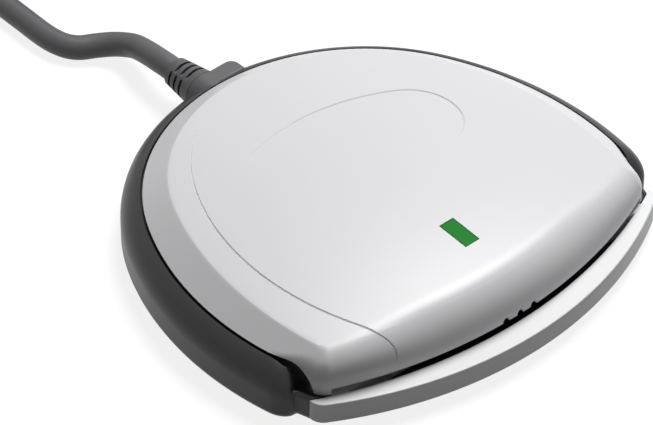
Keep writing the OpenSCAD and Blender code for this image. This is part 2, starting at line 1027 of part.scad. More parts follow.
module chip_legs() {
    rise = chip_size.z / 2;
    color("silver")
        on_board(chip_at)
            for (turn = [0:90:270], i = [0:leg_n - 1])
                rotate(turn)
                    translate([
                        (i - (leg_n - 1) / 2) * leg_pitch - leg_w / 2,
                        (turn % 180 == 0 ? chip_size.y : chip_size.x) / 2, 0
                    ]) {
                        cube([leg_w, leg_t, rise + leg_t]);
                        cube([leg_w, leg_out, leg_t]);
                    }
}

module crystal() {
    can = [crystal_size.x - 2 * crystal_base_h, crystal_size.y - 2 * crystal_base_h, crystal_size.z];
    color("silver")
        on_board(crystal_at) {
            translate([-crystal_size.x / 2, -crystal_size.y / 2, 0])
                cube([crystal_size.x, crystal_size.y, crystal_base_h]);
            translate([-can.x / 2, -can.y / 2 + can.x / 2, 0])
                cube([can.x, can.y - can.x, can.z]);
            for (s = [-1, 1])
                translate([0, s * (can.y - can.x) / 2, 0])
                    cylinder(h = can.z, d = can.x, $fn = small_fn);
        }
}

module capacitors() {
    color([0.72, 0.6, 0.42])
        for (share = capacitor_shares)
            box_on_board(share * board_w, capacitor_size);
}

module resistors() {
    color([0.14, 0.14, 0.15])
        for (share = resistor_shares)
            box_on_board(share * board_w, resistor_size);
}

module reservoir_capacitor() {
    color("silver")
        union() {
            box_on_board(can_at, can_foot);
            on_board(can_at)
                cylinder(h = can_h, d = can_d, $fn = small_fn);
        }
}

module led_chip() {
    color([0.85, 0.9, 0.85])
        union() {
            box_on_board(led_at, led_chip_size);
            on_board(led_at)
                cylinder(h = 1.35 * led_chip_size.z, d = 0.8 * led_chip_size.x, $fn = small_fn);
        }
}

// Cable entry inside the case

header_z = board_z - 2 * header_wall - crimp_h - 2 * fit;

module cable_header() {
    color([0.92, 0.9, 0.84])
        difference() {
            block([-header_half, header_front, header_z], [header_half, header_back, board_z]);
            block(
                [-header_half + header_wall, pins_y + (pin_w + fit) / 2, header_z + header_wall],
                [header_half - header_wall, header_back + cut, board_z - header_wall]
            );
            for (x = header_pin_xs)
                pin_at(x, pins_y, fit / 2, header_z + header_wall, board_z + cut);
        }
}

module header_pins() {
    color("silver")
        for (x = header_pin_xs) {
            pin_at(x, pins_y, 0, cable_z - pin_w / 2, board_top + pin_proud);
            block(
                [x - pin_w / 2, pins_y, cable_z - pin_w / 2],
                [x + pin_w / 2, header_back - fit, cable_z + pin_w / 2]
            );
        }
}

crimp_y = pins_y + pin_w + fit;
crimp_end = crimp_y + crimp_len + header_wall;

module crimp_housing() {
    mid = header_z + header_wall + fit + crimp_h / 2;
    color([0.92, 0.9, 0.84])
        difference() {
            block([-crimp_half, crimp_y, mid - crimp_h / 2], [crimp_half, crimp_end, mid + crimp_h / 2]);
            for (x = header_pin_xs)
                block(
                    [x - terminal_w / 2 - fit / 2, crimp_y - cut, cable_z - terminal_w / 2 - fit / 2],
                    [x + terminal_w / 2 + fit / 2, crimp_end + cut, cable_z + terminal_w / 2 + fit / 2]
                );
        }
}

module crimp_terminals() {
    color("silver")
        for (x = header_pin_xs)
            difference() {
                block(
                    [x - terminal_w / 2, crimp_y + fit, cable_z - terminal_w / 2],
                    [x + terminal_w / 2, crimp_end - fit, cable_z + terminal_w / 2]
                );
                block(
                    [x - pin_w / 2 - fit / 2, crimp_y - cut, cable_z - pin_w / 2 - fit / 2],
                    [x + pin_w / 2 + fit / 2, header_back, cable_z + pin_w / 2 + fit / 2]
                );
            }
}

module wire(x, across, up) {
    far_x = across * wire_d * 0.6;
    far_z = cable_z + up * wire_d * 0.6;
    reach = jacket_y - crimp_end;
    steps = [0, 0.2, 0.5, 0.8, 1];
    blend = [0, 0, 0.5, 1, 1];
    tube(
        [for (i = [0:len(steps) - 1]) [
            x + (far_x - x) * blend[i],
            crimp_end + reach * steps[i],
            cable_z + (far_z - cable_z) * blend[i]
        ]],
        wire_d / 2, stretch_sides
    );
}

module wire_red() {
    color("red")
        wire(header_pin_xs[0], -1, 1);
}

module wire_white() {
    color("white")
        wire(header_pin_xs[1], -1, -1);
}

module wire_green() {
    color("green")
        wire(header_pin_xs[2], 1, -1);
}

module wire_black() {
    color([0.08, 0.08, 0.08])
        wire(header_pin_xs[3], 1, 1);
}

module inner_cable() {
    color([0.1, 0.1, 0.11])
        rod(0, jacket_y, back_r + rim_w, cable_z, cable_d / 2);
}

// Bar on the rim, neck through the wall and flange behind it
module gland_body(play) {
    out = back_r + rim_w + gland_out;
    translate([0, 0, bar_z - play])
        linear_extrude(bar_h + play) {
            translate([-gland_half - play, bar_y - play])
                square([2 * (gland_half + play), out - bar_y - bar_round + play]);
            translate([-gland_half + bar_round, bar_y])
                square([2 * (gland_half - bar_round), out - bar_y + play]);
            mirrored()
                translate([gland_half - bar_round, out - bar_round])
                    circle(bar_round + play, $fn = small_fn);
        }
    block(
        [-neck_half - play, neck_y, cable_z - collar_r - play],
        [neck_half + play, bar_y + play, seam_z - tongue_h - fit + play]
    );
}

module cable_gland() {
    color([0.13, 0.13, 0.14])
        difference() {
            union() {
                gland_body(0);
                rod(0, bar_y - cut, relief_y, cable_z, collar_r);
                block(
                    [-flange_half, neck_y - flange_t, floor_z + fit],
                    [flange_half, neck_y, seam_z - tongue_h - fit]
                );
            }
            rod(0, 0, far, cable_z, cable_d / 2 + fit / 2);
            rod(0, relief_y, far, cable_z, relief_d / 2 + fit / 2);
        }
}

module strain_relief() {
    pitch = relief_len / (slit_n + 1);
    color([0.13, 0.13, 0.14])
        difference() {
            rod(0, relief_y, relief_tip, cable_z, relief_d / 2);
            rod(0, 0, far, cable_z, cable_d / 2 + fit / 2);
            for (i = [1:slit_n], turn = [0:90:270])
                translate([0, relief_y + (i + (turn % 180 == 0 ? 0 : 0.5) - 0.25) * pitch, cable_z])
                    rotate([-90, 0, 0])
                        rotate_extrude(angle = slit_angle, start = turn - slit_angle / 2)
                            translate([cable_d / 2, -slit_w / 2])
                                square([relief_d, slit_w]);
        }
}

// Free cable and its put-away length

module cord_stretch() {
    color([0.1, 0.1, 0.11])
        tube(stretch_points, cable_d / 2, stretch_sides);
}

// Point of the coil after t turns, clockwise from its leftmost point
function coil_point(t) =
    let (
        r = coil_outer - coil_pitch * (coil_half - abs(t - coil_half)),
        lift = min(max((t - coil_half + climb_share) / (2 * climb_share), 0), 1),
        a = 180 - 360 * t
    )
    [coil_at.x + r * cos(a), coil_at.y + r * sin(a), coil_z + coil_pitch * lift];

// Tail beyond the last turn: it comes down to the plug's height, then runs straight
function tail_point(s) =
    let (
        share = min(max((s - tail_hold) / tail_drop_run, 0), 1),
        top = coil_z + coil_pitch
    )
    [coil_at.x + coil_outer, coil_at.y - s, top + (plug_z - top) * (1 - cos(180 * share)) / 2];

coil_path = concat(
    [coil_start],
    [for (i = [0:coil_turns * coil_rings]) coil_point(i / coil_rings)],
    [for (i = [1:tail_steps]) tail_point(i * tail_run / tail_steps)],
    [tail_point(tail_run + cable_d)]
);

module cord_coil() {
    color([0.1, 0.1, 0.11])
        tube(coil_path, cable_d / 2, coil_sides);
}

// Least gap of the coil to itself, from points half a turn or more apart
coil_points = len(coil_path);
coil_least_gap = min([
    for (i = [0:coil_points - 1], j = [i + coil_rings / 2:1:coil_points - 1])
        norm(coil_path[i] - coil_path[j]) - cable_d
]);
echo(  // cord_coil
        coil_least_gap = coil_least_gap,
        coil_length = path_length(coil_path),
        cable_length = path_length(coil_path) + path_length(stretch_points) + back_r + rim_w - jacket_y
    );

module cord_tie() {
    inner = coil_outer - coil_pitch * coil_half - cable_d / 2 - tie_gap;
    outer = coil_outer - coil_pitch / 4 + cable_d / 2 + tie_gap;
    low = coil_z - cable_d / 2 - tie_gap;
    high = coil_z + coil_pitch + cable_d / 2 + tie_gap;
    color([0.2, 0.2, 0.21])
        translate([coil_at.x, coil_at.y, 0])
            difference() {
                block([-tie_w / 2, inner - tie_t, low - tie_t], [tie_w / 2, outer + tie_t, high + tie_t]);
                block([-tie_w, inner, low], [tie_w, outer, high]);
            }
}

// Plug

// Plug pieces are drawn from the cable's end along +Y, then turned to the way the tail runs
module at_plug() {
    translate([plug_at.x, plug_at.y, 0])
        rotate(180)
            children();
}

// Rounded bar along +Y from the plug's start
module plug_bar(y0, y1, w, h, r) {
    at_plug()
        translate([0, y1, plug_z])
            rotate([90, 0, 0])
                linear_extrude(y1 - y0) {
                    square([w - 2 * r, h], center = true);
                    square([w, h - 2 * r], center = true);
                    for (x = [-1, 1], z = [-1, 1])
                        translate([x * (w / 2 - r), z * (h / 2 - r)])
                            circle(r, $fn = small_fn);
                }
}

module plug_boot() {
    step = boot_len / (2 * boot_rib_n + 1);
    widening = (boot_r - boot_tip_r) / (2 * boot_rib_n + 1);
    color([0.1, 0.1, 0.11])
        at_plug()
            translate([0, 0, plug_z])
                rotate([-90, 0, 0])
                    difference() {
                        cylinder(h = boot_len, r1 = boot_tip_r, r2 = boot_r);
                        for (i = [0:boot_rib_n - 1])
                            translate([0, 0, (2 * i + 1) * step])
                                difference() {
                                    cylinder(h = step, r = 2 * boot_r);
                                    cylinder(h = step, r = boot_tip_r - boot_rib + (2 * i + 1) * widening);
                                }
                    }
}

module plug_body() {
    color([0.1, 0.1, 0.11])
        union() {
            plug_bar(
                boot_len, boot_len + grip_neck,
                grip_w - 2 * grip_neck_in, grip_h - 2 * grip_neck_in, grip_round
            );
            plug_bar(boot_len + grip_neck, boot_len + grip_len, grip_w, grip_h, grip_round);
        }
}

shell_y = boot_len + grip_len;

module usb_shell() {
    color("silver")
        difference() {
            plug_bar(shell_y, shell_y + shell_len, shell_w, shell_h, shell_t);
            plug_bar(
                shell_y - cut, shell_y + shell_len + cut,
                shell_w - 2 * shell_t, shell_h - 2 * shell_t, shell_t / 2
            );
            for (x = [-1, 1], z = [-1, 1])
                at_plug()
                    translate([x * shell_w / 4, shell_y + 0.45 * shell_len, plug_z + z * shell_h / 2])
                        cube([shell_w / 5, shell_w / 5, 3 * shell_t], center = true);
        }
}

tongue_low = plug_z + shell_h / 2 - shell_t - fit / 2 - plug_tongue_t;

module usb_tongue() {
    color([0.93, 0.93, 0.92])
        at_plug()
            block(
                [-tongue_w / 2, shell_y, tongue_low],
                [tongue_w / 2, shell_y + shell_len - tongue_back, tongue_low + plug_tongue_t]
            );
}

module usb_contacts() {
    pad_end = shell_y + shell_len - 2 * tongue_back;
    color("gold")
        at_plug()
            for (x = usb_pads)
                block(
                    [x - usb_pad_w / 2, pad_end - usb_pad_len, tongue_low - usb_pad_t],
                    [x + usb_pad_w / 2, pad_end, tongue_low]
                );
}

top_cover();
base_shell();
card_shelf();
led_window();
cable_gland();
strain_relief();
circuit_board();
connector_frame();
contacts_front();
contacts_rear();
contact_tails();
detect_lever();
detect_contact();
reader_chip();
chip_legs();
crystal();
capacitors();
reservoir_capacitor();
resistors();
led_chip();
cable_header();
header_pins();
crimp_housing();
crimp_terminals();
wire_red();
wire_white();
wire_green();
wire_black();
inner_cable();
board_screws();
case_screws();
rubber_feet();
cord_stretch();
cord_coil();
cord_tie();
plug_boot();
plug_body();
usb_shell();
usb_tongue();
usb_contacts();
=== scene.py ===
import math

import bmesh
import bpy
from mathutils import Matrix, Vector


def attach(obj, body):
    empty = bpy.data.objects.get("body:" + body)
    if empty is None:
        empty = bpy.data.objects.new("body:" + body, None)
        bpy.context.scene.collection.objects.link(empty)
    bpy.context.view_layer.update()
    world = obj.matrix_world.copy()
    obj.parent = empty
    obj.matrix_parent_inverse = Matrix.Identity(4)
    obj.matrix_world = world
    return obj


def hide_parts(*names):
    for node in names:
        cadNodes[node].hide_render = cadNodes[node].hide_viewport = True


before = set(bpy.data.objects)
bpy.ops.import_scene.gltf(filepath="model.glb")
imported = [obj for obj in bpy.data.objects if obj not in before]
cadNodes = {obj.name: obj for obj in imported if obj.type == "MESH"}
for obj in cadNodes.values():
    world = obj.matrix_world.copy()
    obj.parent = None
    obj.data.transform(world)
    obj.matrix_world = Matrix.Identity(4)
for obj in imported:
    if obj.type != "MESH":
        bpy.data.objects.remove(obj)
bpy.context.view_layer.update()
mm = 0.001
print("frame loaded:", len(cadNodes), "nodes")

# ---- camera

photoView = dict(
    place=(-338.06, -363.01, 431.70), tilt=49.254, turn=-42.341, lens=270.762, sensor=36, near=0.05, far=20,
)

cameraData = bpy.data.cameras.new("photoCamera")
cameraData.lens = photoView["lens"]
cameraData.sensor_width = photoView["sensor"]
cameraData.clip_start = photoView["near"]
cameraData.clip_end = photoView["far"]
camera = bpy.data.objects.new("photoCamera", cameraData)
camera.location = Vector(photoView["place"]) * mm
camera.rotation_euler = (math.radians(photoView["tilt"]), 0, math.radians(photoView["turn"]))
bpy.context.scene.collection.objects.link(camera)
bpy.context.scene.camera = camera


# ---- mesh helpers: pieces are drawn in millimetres and scaled once, when they are finished

def wayAt(angle):
    return Vector((math.cos(angle), math.sin(angle)))


def clampShare(value, start, end):
    return min(max((value - start) / (end - start), 0), 1)


def blendShare(value, start, end):
    share = clampShare(value, start, end)
    return share * share * (3 - 2 * share)


def quarterFall(value, start, end):
    share = clampShare(value, start, end)
    return math.sqrt(1 - share * share)


def mirrored(half):
    return half + [Vector((-p.x, *p[1:])) for p in half[-2:0:-1]]


def linkMesh(name, bm):
    bmesh.ops.recalc_face_normals(bm, faces=bm.faces)
    bmesh.ops.scale(bm, vec=(mm, mm, mm), verts=bm.verts)
    mesh = bpy.data.meshes.new(name)
    bm.to_mesh(mesh)
    bm.free()
    obj = bpy.data.objects.new(name, mesh)
    bpy.context.scene.collection.objects.link(obj)
    return obj


def finishMesh(name, bm, body="case", sharp=32, merge=0.0008):
    if merge:
        bmesh.ops.remove_doubles(bm, verts=bm.verts, dist=merge)
        bmesh.ops.dissolve_degenerate(bm, edges=bm.edges, dist=merge)
    obj = linkMesh(name, bm)
    softShade(obj, sharp)
    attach(obj, body)
    return obj


def softShade(obj, sharp):
    for face in obj.data.polygons:
        face.use_smooth = True
    obj.data.set_sharp_from_angle(angle=math.radians(sharp))


def applyModifiers(obj):
    shown = obj.evaluated_get(bpy.context.evaluated_depsgraph_get())
    mesh = bpy.data.meshes.new_from_object(shown)
    obj.modifiers.clear()
    obj.data = mesh


def weighNormals(obj, sharp):
    softShade(obj, sharp)
    step = obj.modifiers.new("normals", "WEIGHTED_NORMAL")
    step.mode = "FACE_AREA"
    step.weight = 50
    step.keep_sharp = True
    applyModifiers(obj)


def cutWith(obj, cutters, operation="DIFFERENCE"):
    for cutter in cutters:
        step = obj.modifiers.new("cut", "BOOLEAN")
        step.operation = operation
        step.solver = "EXACT"
        step.object = cutter
    applyModifiers(obj)
    for cutter in cutters:
        bpy.data.objects.remove(cutter)


def addBox(bm, low, high):
    made = bmesh.ops.create_cube(bm, size=1)["verts"]
    low, high = Vector(low), Vector(high)
    bmesh.ops.scale(bm, vec=high - low, verts=made)
    bmesh.ops.translate(bm, vec=(low + high) / 2, verts=made)


def addCylinder(bm, centre, radius, low, high, sides=48):
    made = bmesh.ops.create_cone(
        bm, cap_ends=True, segments=sides, radius1=radius, radius2=radius, depth=high - low
    )["verts"]
    bmesh.ops.translate(bm, vec=(centre[0], centre[1], (low + high) / 2), verts=made)


def addPair(bm, place, radius, low, high):
    for side in (-1, 1):
        addCylinder(bm, (side * place[0], place[1]), radius, low, high)


def addRod(bm, start, end, z, radius, sides=48, x=0):
    made = bmesh.ops.create_cone(
        bm, cap_ends=True, segments=sides, radius1=radius, radius2=radius, depth=end - start
    )["verts"]
    bmesh.ops.rotate(bm, cent=(0, 0, 0), matrix=Matrix.Rotation(math.pi / 2, 3, "X"), verts=made)
    bmesh.ops.translate(bm, vec=(x, (start + end) / 2, z), verts=made)


def cutter(add, *values, **options):
    bm = bmesh.new()
    add(bm, *values, **options)
    return linkMesh("cutter", bm)


def bevelSharp(bm, width, segments, angle):
    sharp = [
        e for e in bm.edges if len(e.link_faces) == 2 and e.calc_face_angle(0) > math.radians(angle)
    ]
    bmesh.ops.bevel(
        bm, geom=sharp, offset=width, segments=segments, profile=0.5, affect="EDGES",
        clamp_overlap=True, material=-1
    )


def bevelCopy(node, name, width, segments, angle, body="case", join=0.002, flat=0.6):
    bm = bmesh.new()
    bm.from_mesh(cadNodes[node].data)
    bmesh.ops.scale(bm, vec=(1 / mm,) * 3, verts=bm.verts)
    bmesh.ops.remove_doubles(bm, verts=bm.verts, dist=join)
    bmesh.ops.dissolve_limit(bm, angle_limit=math.radians(flat), verts=bm.verts, edges=bm.edges)
    bevelSharp(bm, width, segments, angle)
    obj = finishMesh(name, bm, body)
    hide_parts(node)
    return obj


def loftRings(bm, rings):
    # a circle is laid on the first ring, and its edges are extruded from ring to ring
    loop = bmesh.ops.create_circle(bm, segments=len(rings[0]), radius=1)["verts"]
    for vert, place in zip(loop, rings[0]):
        vert.co = place
    edges = [bm.edges.get((loop[i - 1], loop[i])) for i in range(len(loop))]
    ends = [edges]
    for ring in rings[1:]:
        raised = bmesh.ops.extrude_edge_only(bm, edges=edges)["geom"]
        edges = [g for g in raised if isinstance(g, bmesh.types.BMEdge)]
        fresh = {g for g in raised if isinstance(g, bmesh.types.BMVert)}
        loop = [next(e.other_vert(v) for e in v.link_edges if e.other_vert(v) in fresh) for v in loop]
        for vert, place in zip(loop, ring):
            vert.co = place
    ends.append(edges)
    return ends


def closeEnds(bm, ends):
    for edges in ends:
        bmesh.ops.contextual_create(bm, geom=edges)


# ---- cable

cableForm = dict(
    diameter=3.5, sides=20, smooth=6,
    stretch=[
        (0, 32.85, 5.3), (0, 38.95, 5.3), (0, 40.5, 5.3), (0.1, 42.5, 5.1), (0.4, 45, 4.6), (0.8, 48, 3.7),
        (0.6, 50, 3), (-0.3, 52, 2.4), (-1.9, 53.7, 2), (-3.6, 55, 1.8), (-4.7, 56.5, 1.75),
        (-5.3, 58.5, 1.75), (-5.5, 61, 1.75), (-5.4, 65, 1.75), (-5.3, 70, 1.75), (-5.3, 76, 1.8),
        (-5.3, 82, 2.2), (-5.3, 88.5, 2.25),
    ],
    coilAt=(25.2, 92), coilOuter=30.5, coilPitch=3.95, coilTurns=10.5, perTurn=40, climb=0.25,
    tailRun=20, tailHold=5, tailDrop=14, tailSteps=16, plugZ=4.0,
)


def smoothLine(points, steps):
    line = []
    for i in range(len(points) - 1):
        a = points[max(i - 1, 0)]
        b, c = points[i], points[i + 1]
        d = points[min(i + 2, len(points) - 1)]
        for k in range(steps):
            t = k / steps
            line.append(0.5 * (
                2 * b + (c - a) * t + (2 * a - 5 * b + 4 * c - d) * t * t
                + (3 * b - a - 3 * c + d) * t * t * t
            ))
    line.append(points[-1])
    return line


def coilPoint(form, turns):
    half = form["coilTurns"] / 2
    radius = form["coilOuter"] - form["coilPitch"] * (half - abs(turns - half))
    lift = blendShare(turns - half, -form["climb"], form["climb"])
    angle = math.pi - 2 * math.pi * turns
    low = form["stretch"][-1][2]
    return Vector((
        form["coilAt"][0] + radius * math.cos(angle), form["coilAt"][1] + radius * math.sin(angle),
        low + form["coilPitch"] * lift
    ))


def cablePath(form):
    line = smoothLine([Vector(p) for p in form["stretch"]], form["smooth"])
    count = round(form["coilTurns"] * form["perTurn"])
    line += [coilPoint(form, i / form["perTurn"]) for i in range(count + 1)]
    start = Vector((form["coilAt"][0] + form["coilOuter"], form["coilAt"][1], 0))
    top = form["stretch"][-1][2] + form["coilPitch"]
    for i in range(1, form["tailSteps"] + 1):
        run = form["tailRun"] * i / form["tailSteps"]
        share = clampShare(run, form["tailHold"], form["tailHold"] + form["tailDrop"])
        drop = (form["plugZ"] - top) * (1 - math.cos(math.pi * share)) / 2
        line.append(start + Vector((0, -run, top + drop)))
    line.append(start + Vector((0, -form["tailRun"] - form["diameter"], form["plugZ"])))
    return line


def sweepRound(bm, line, radius, sides):
    rings = []
    for i, point in enumerate(line):
        way = (line[min(i + 1, len(line) - 1)] - line[max(i - 1, 0)]).normalized()
        right = way.cross(Vector((0, 0, 1))).normalized()
        top = right.cross(way)
        angles = [2 * math.pi * k / sides for k in range(sides)]
        rings.append([point + radius * (right * math.cos(a) + top * math.sin(a)) for a in angles])
    closeEnds(bm, loftRings(bm, rings))


cableLine = cablePath(cableForm)
bm = bmesh.new()
sweepRound(bm, cableLine, cableForm["diameter"] / 2, cableForm["sides"])
cable = finishMesh("cable", bm, merge=0)
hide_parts("cord_stretch", "cord_coil")


# ---- outline of the case: four arcs a side, found by the direction in which the wall faces

caseForm = dict(
    backR=29.8, sideR=46.6, turn=27.1, frontR=69.6, frontReach=29.4, cornerR=2.0,
    top=13.0, domeR=200.0, domeFront=3.5, wall=1.8, bandSlope=36.5,
    baseZ=0.8, floorZ=2.4, cardZ=4.85, slotZ=5.8, seamZ=8.4, slotHalf=27.9, slotPlay=0.001,
    skirtFrom=-18.0, skirtTo=-21.8, rimW=3.05, rimRound=3.8, rimFallY=-15.0,
)
wallSteps = dict(front=30, corner=20, fall=24, side=26, back=30, slotEdge=0.0004)
turnAngle = math.radians(caseForm["turn"])
frontCentre = Vector((0, caseForm["frontR"] - caseForm["frontReach"]))
sideCentre = (caseForm["backR"] - caseForm["sideR"]) * wayAt(turnAngle)


def cornerCentre(grow, frontGrow, radius):
    apart = frontCentre - sideCentre
    along = apart.normalized()
    side = caseForm["sideR"] + grow - radius
    front = caseForm["frontR"] + frontGrow - radius
    run = (side * side - front * front + apart.length_squared) / (2 * apart.length)
    off = math.sqrt(side * side - run * run)
    return sideCentre + run * along + off * Vector((along.y, -along.x))


def outlinePoint(facing, grow, frontGrow, radius):
    way = wayAt(facing)
    if facing >= turnAngle:
        return way * (caseForm["backR"] + grow)
    corner = cornerCentre(grow, frontGrow, radius)
    if facing >= math.atan2(*(corner - sideCentre).yx):
        return sideCentre + way * (caseForm["sideR"] + grow)
    if facing <= math.atan2(*(corner - frontCentre).yx):
        return frontCentre + way * (caseForm["frontR"] + frontGrow)
    return corner + way * radius


def facings():
    corner = cornerCentre(0, 0, caseForm["cornerR"])
    low = math.atan2(*(corner - frontCentre).yx)
    high = math.atan2(*(corner - sideCentre).yx)
    slotEnd = -math.acos(caseForm["slotHalf"] / caseForm["frontR"])
    rimFall = math.asin((caseForm["rimFallY"] - sideCentre.y) / caseForm["sideR"])
    beforeSlot = slotEnd - wallSteps["slotEdge"]
    half = []
    for start, end, count in (
        (-math.pi / 2, beforeSlot, wallSteps["front"]), (beforeSlot, slotEnd, 1), (slotEnd, low, 1),
        (low, high, wallSteps["corner"]), (high, rimFall, wallSteps["fall"]),
        (rimFall, turnAngle, wallSteps["side"]), (turnAngle, math.pi / 2, wallSteps["back"]),
    ):
        half += [start + (end - start) * i / count for i in range(count)]
    half.append(math.pi / 2)
    return half


rightHalf = facings()


def overSlot(point):
    return point.y < 0 and abs(point.x) < caseForm["slotHalf"] - caseForm["slotPlay"]


# ---- cover: the surface where three rounded meetings of wall, band and dome are zero

coverForm = dict(
    rollR=5.0, rollEndR=3.2, rollFrom=12, rollTo=26.5, curl=1.6, curlStart=-14.5, curlEnd=-20.5,
    creaseTop=0.05, creaseLow=0.9, creaseFrom=10.1, creaseTo=7.8, pivotIn=6.0, pivotCorner=7.0, pivotZ=6.9,
    lowSteps=15, highSteps=7, domeSteps=10, crestWidth=0.011, crestEnd=-19.9, frontCrest=0.9,
    slopeStep=0.01, hitReach=14.0, hitSteps=26, crestSteps=22, settleSteps=6, sharp=24, sharpCut=40,
)
domeCentre = Vector((0, -caseForm["domeFront"], caseForm["top"] - caseForm["domeR"]))
slope = math.radians(caseForm["bandSlope"])


def roundedMeet(a, b, radius):
    if radius > 0 and a > -radius and b > -radius:
        return math.hypot(a + radius, b + radius) - radius
    return max(a, b)


def sideDepth(p):
    x = abs(p.x)
    if p.y > x * math.tan(turnAngle):
        wall = math.hypot(x, p.y) - caseForm["backR"]
    else:
        wall = math.hypot(x - sideCentre.x, p.y - sideCentre.y) - caseForm["sideR"]
    band = (p.z - caseForm["seamZ"] + wall * math.tan(slope)) * math.cos(slope)
    curl = coverForm["curl"] * blendShare(p.y, coverForm["curlStart"], coverForm["curlEnd"])
    return roundedMeet(wall, band, curl)


def frontDepth(p):
    dome = (p - domeCentre).length - caseForm["domeR"]
    share = blendShare(abs(p.x), coverForm["rollFrom"], coverForm["rollTo"])
    roll = coverForm["rollR"] + (coverForm["rollEndR"] - coverForm["rollR"]) * share
    return roundedMeet(math.hypot(p.x, p.y - frontCentre.y) - caseForm["frontR"], dome, roll)


def coverDepth(p):
    share = blendShare(p.z, coverForm["creaseFrom"], coverForm["creaseTo"])
    crease = coverForm["creaseTop"] + (coverForm["creaseLow"] - coverForm["creaseTop"]) * share
    return roundedMeet(sideDepth(p), frontDepth(p), crease)


def coverNormal(p):
    step = coverForm["slopeStep"]
    grad = Vector([
        coverDepth(p + step * axis) - coverDepth(p - step * axis)
        for axis in (Vector((1, 0, 0)), Vector((0, 1, 0)), Vector((0, 0, 1)))
    ])
    return grad.normalized()


def coverHit(start, way):
    near, far = 0.0, coverForm["hitReach"]
    for _ in range(coverForm["hitSteps"]):
        middle = (near + far) / 2
        if coverDepth(start + way * middle) < 0:
            near = middle
        else:
            far = middle
    return start + way * near


def onCover(p):
    for _ in range(coverForm["settleSteps"]):
        p = p - coverDepth(p) * coverNormal(p)
    return p


def coverLow(facing):
    point = outlinePoint(facing, 0, 0, caseForm["cornerR"])
    if overSlot(point):
        return caseForm["slotZ"]
    fall = quarterFall(point.y, caseForm["skirtFrom"], caseForm["skirtTo"])
    return caseForm["cardZ"] + (caseForm["seamZ"] - caseForm["cardZ"]) * fall


def columnFrame(facing):
    edge = outlinePoint(facing, 0, 0, caseForm["cornerR"])
    inside = outlinePoint(facing, -coverForm["pivotIn"], -coverForm["pivotIn"], coverForm["pivotCorner"])
    outward = (edge - inside).normalized().to_3d()
    pivot = Vector((inside.x, inside.y, coverForm["pivotZ"]))
    bottom = coverHit(Vector((inside.x, inside.y, coverLow(facing))), outward)
    return pivot, outward, bottom, math.atan2(bottom.z - pivot.z, (bottom - pivot).xy.length)


def columnHit(pivot, outward, angle):
    return coverHit(pivot, outward * math.cos(angle) + Vector((0, 0, math.sin(angle))))


def crestAngle(pivot, outward, low):
    high = math.pi / 2
    for _ in range(coverForm["crestSteps"]):
        middle = (low + high) / 2
        p = columnHit(pivot, outward, middle)
        if sideDepth(p) > frontDepth(p):
            low = middle
        else:
            high = middle
    return low


def coverSides():
    # every column has a ring at the crest between band and dome, and one close to each side of it
    form = coverForm
    frames = [columnFrame(a) for a in rightHalf]
    crests = [crestAngle(p, o, low) for p, o, _, low in frames]
    first = next(i for i, f in enumerate(frames) if columnHit(f[0], f[1], crests[i]).y > form["crestEnd"])
    for i in range(first):
        crests[i] = form["frontCrest"] + (crests[first] - form["frontCrest"]) * (i / first) ** 3
    columns = []
    for (pivot, outward, bottom, low), crest in zip(frames, crests):
        width = form["crestWidth"]
        rise = math.pi / 2 - crest - width
        angles = [low + (crest - width - low) * k / form["lowSteps"] for k in range(1, form["lowSteps"] + 1)]
        angles.append(crest)
        angles += [crest + width + rise * k / form["highSteps"] for k in range(form["highSteps"] + 1)]
        columns.append([bottom] + [columnHit(pivot, outward, a) for a in angles])
    return columns


def domePoint(x, y):
    across = math.hypot(x, y - domeCentre.y)
    return Vector((x, y, domeCentre.z + math.sqrt(caseForm["domeR"] ** 2 - across * across)))


def coverSkin():
    rings = [mirrored(list(half)) for half in zip(*coverSides())]
    steps = coverForm["domeSteps"]
    crown = rings[-1]
    for k in range(1, steps + 1):
        share = k / steps
        rings.append([domePoint(p.x * (1 - share), p.y + (domeCentre.y - p.y) * share) for p in crown])
    bm = bmesh.new()
    loftRings(bm, rings)
    return bm


cover = finishMesh("topCover", coverSkin(), sharp=coverForm["sharp"])
walls = cover.modifiers.new("wall", "SOLIDIFY")
walls.thickness = caseForm["wall"] * mm
walls.offset = -1
walls.use_even_offset = True
applyModifiers(cover)
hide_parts("top_cover")
print("cover made:", len(cover.data.polygons), "faces")

# grooves engraved in the cover: routes from arcs, with the depth at each end

lineForm = dict(
    width=0.32, depth=0.21, proud=0.4, spacing=0.45,
    fadePower=0.7, endRise=0.08, longFades=(0.34, 0.04), hookFades=(0.4, 0.14),
    longCentre=(14.1, -6.2), longR=38.2, join=147, endR=25.4, endFrom=116, longTo=206.2,
    bendBack=6, bendSteps=5,
    frontPoints=[
        (-19.75, -24.35, 10.3), (-19.3, -25.25, 9.6), (-19.1, -25.9, 8.9), (-19.15, -26.35, 8.2),
        (-19.3, -26.65, 7.3),
    ],
    hookCentre=(10.4, 2.9), hookR=7.25, hookJoin=60, topR=31.3, topTo=110, hookFrom=-74,
)


def arcRoute(centre, radius, start, end, spacing):
    count = max(2, round(abs(math.radians(end - start)) * radius / spacing))
    angles = [math.radians(start + (end - start) * i / count) for i in range(count + 1)]
    return [domePoint(centre[0] + radius * math.cos(a), centre[1] + radius * math.sin(a)) for a in angles]


def grooveCutter(route, form, fades):
    total = len(route) - 1
    rings = []
    for i, point in enumerate(route):
        way = (route[min(i + 1, total)] - route[max(i - 1, 0)]).normalized()
        up = coverNormal(point)
        across = up.cross(way).normalized()
        share = min(1, i / max(1, fades[0] * total), (total - i) / max(1, fades[1] * total))
        depth = form["depth"] * ((1 + form["endRise"]) * share ** form["fadePower"] - form["endRise"])
        half = form["width"] / 2 * (depth + form["proud"]) / form["depth"]
        above = point + up * form["proud"]
        rings.append([above - across * half, point - up * depth, above + across * half])
    bm = bmesh.new()
    closeEnds(bm, loftRings(bm, rings))
    return linkMesh("grooveCutter", bm)


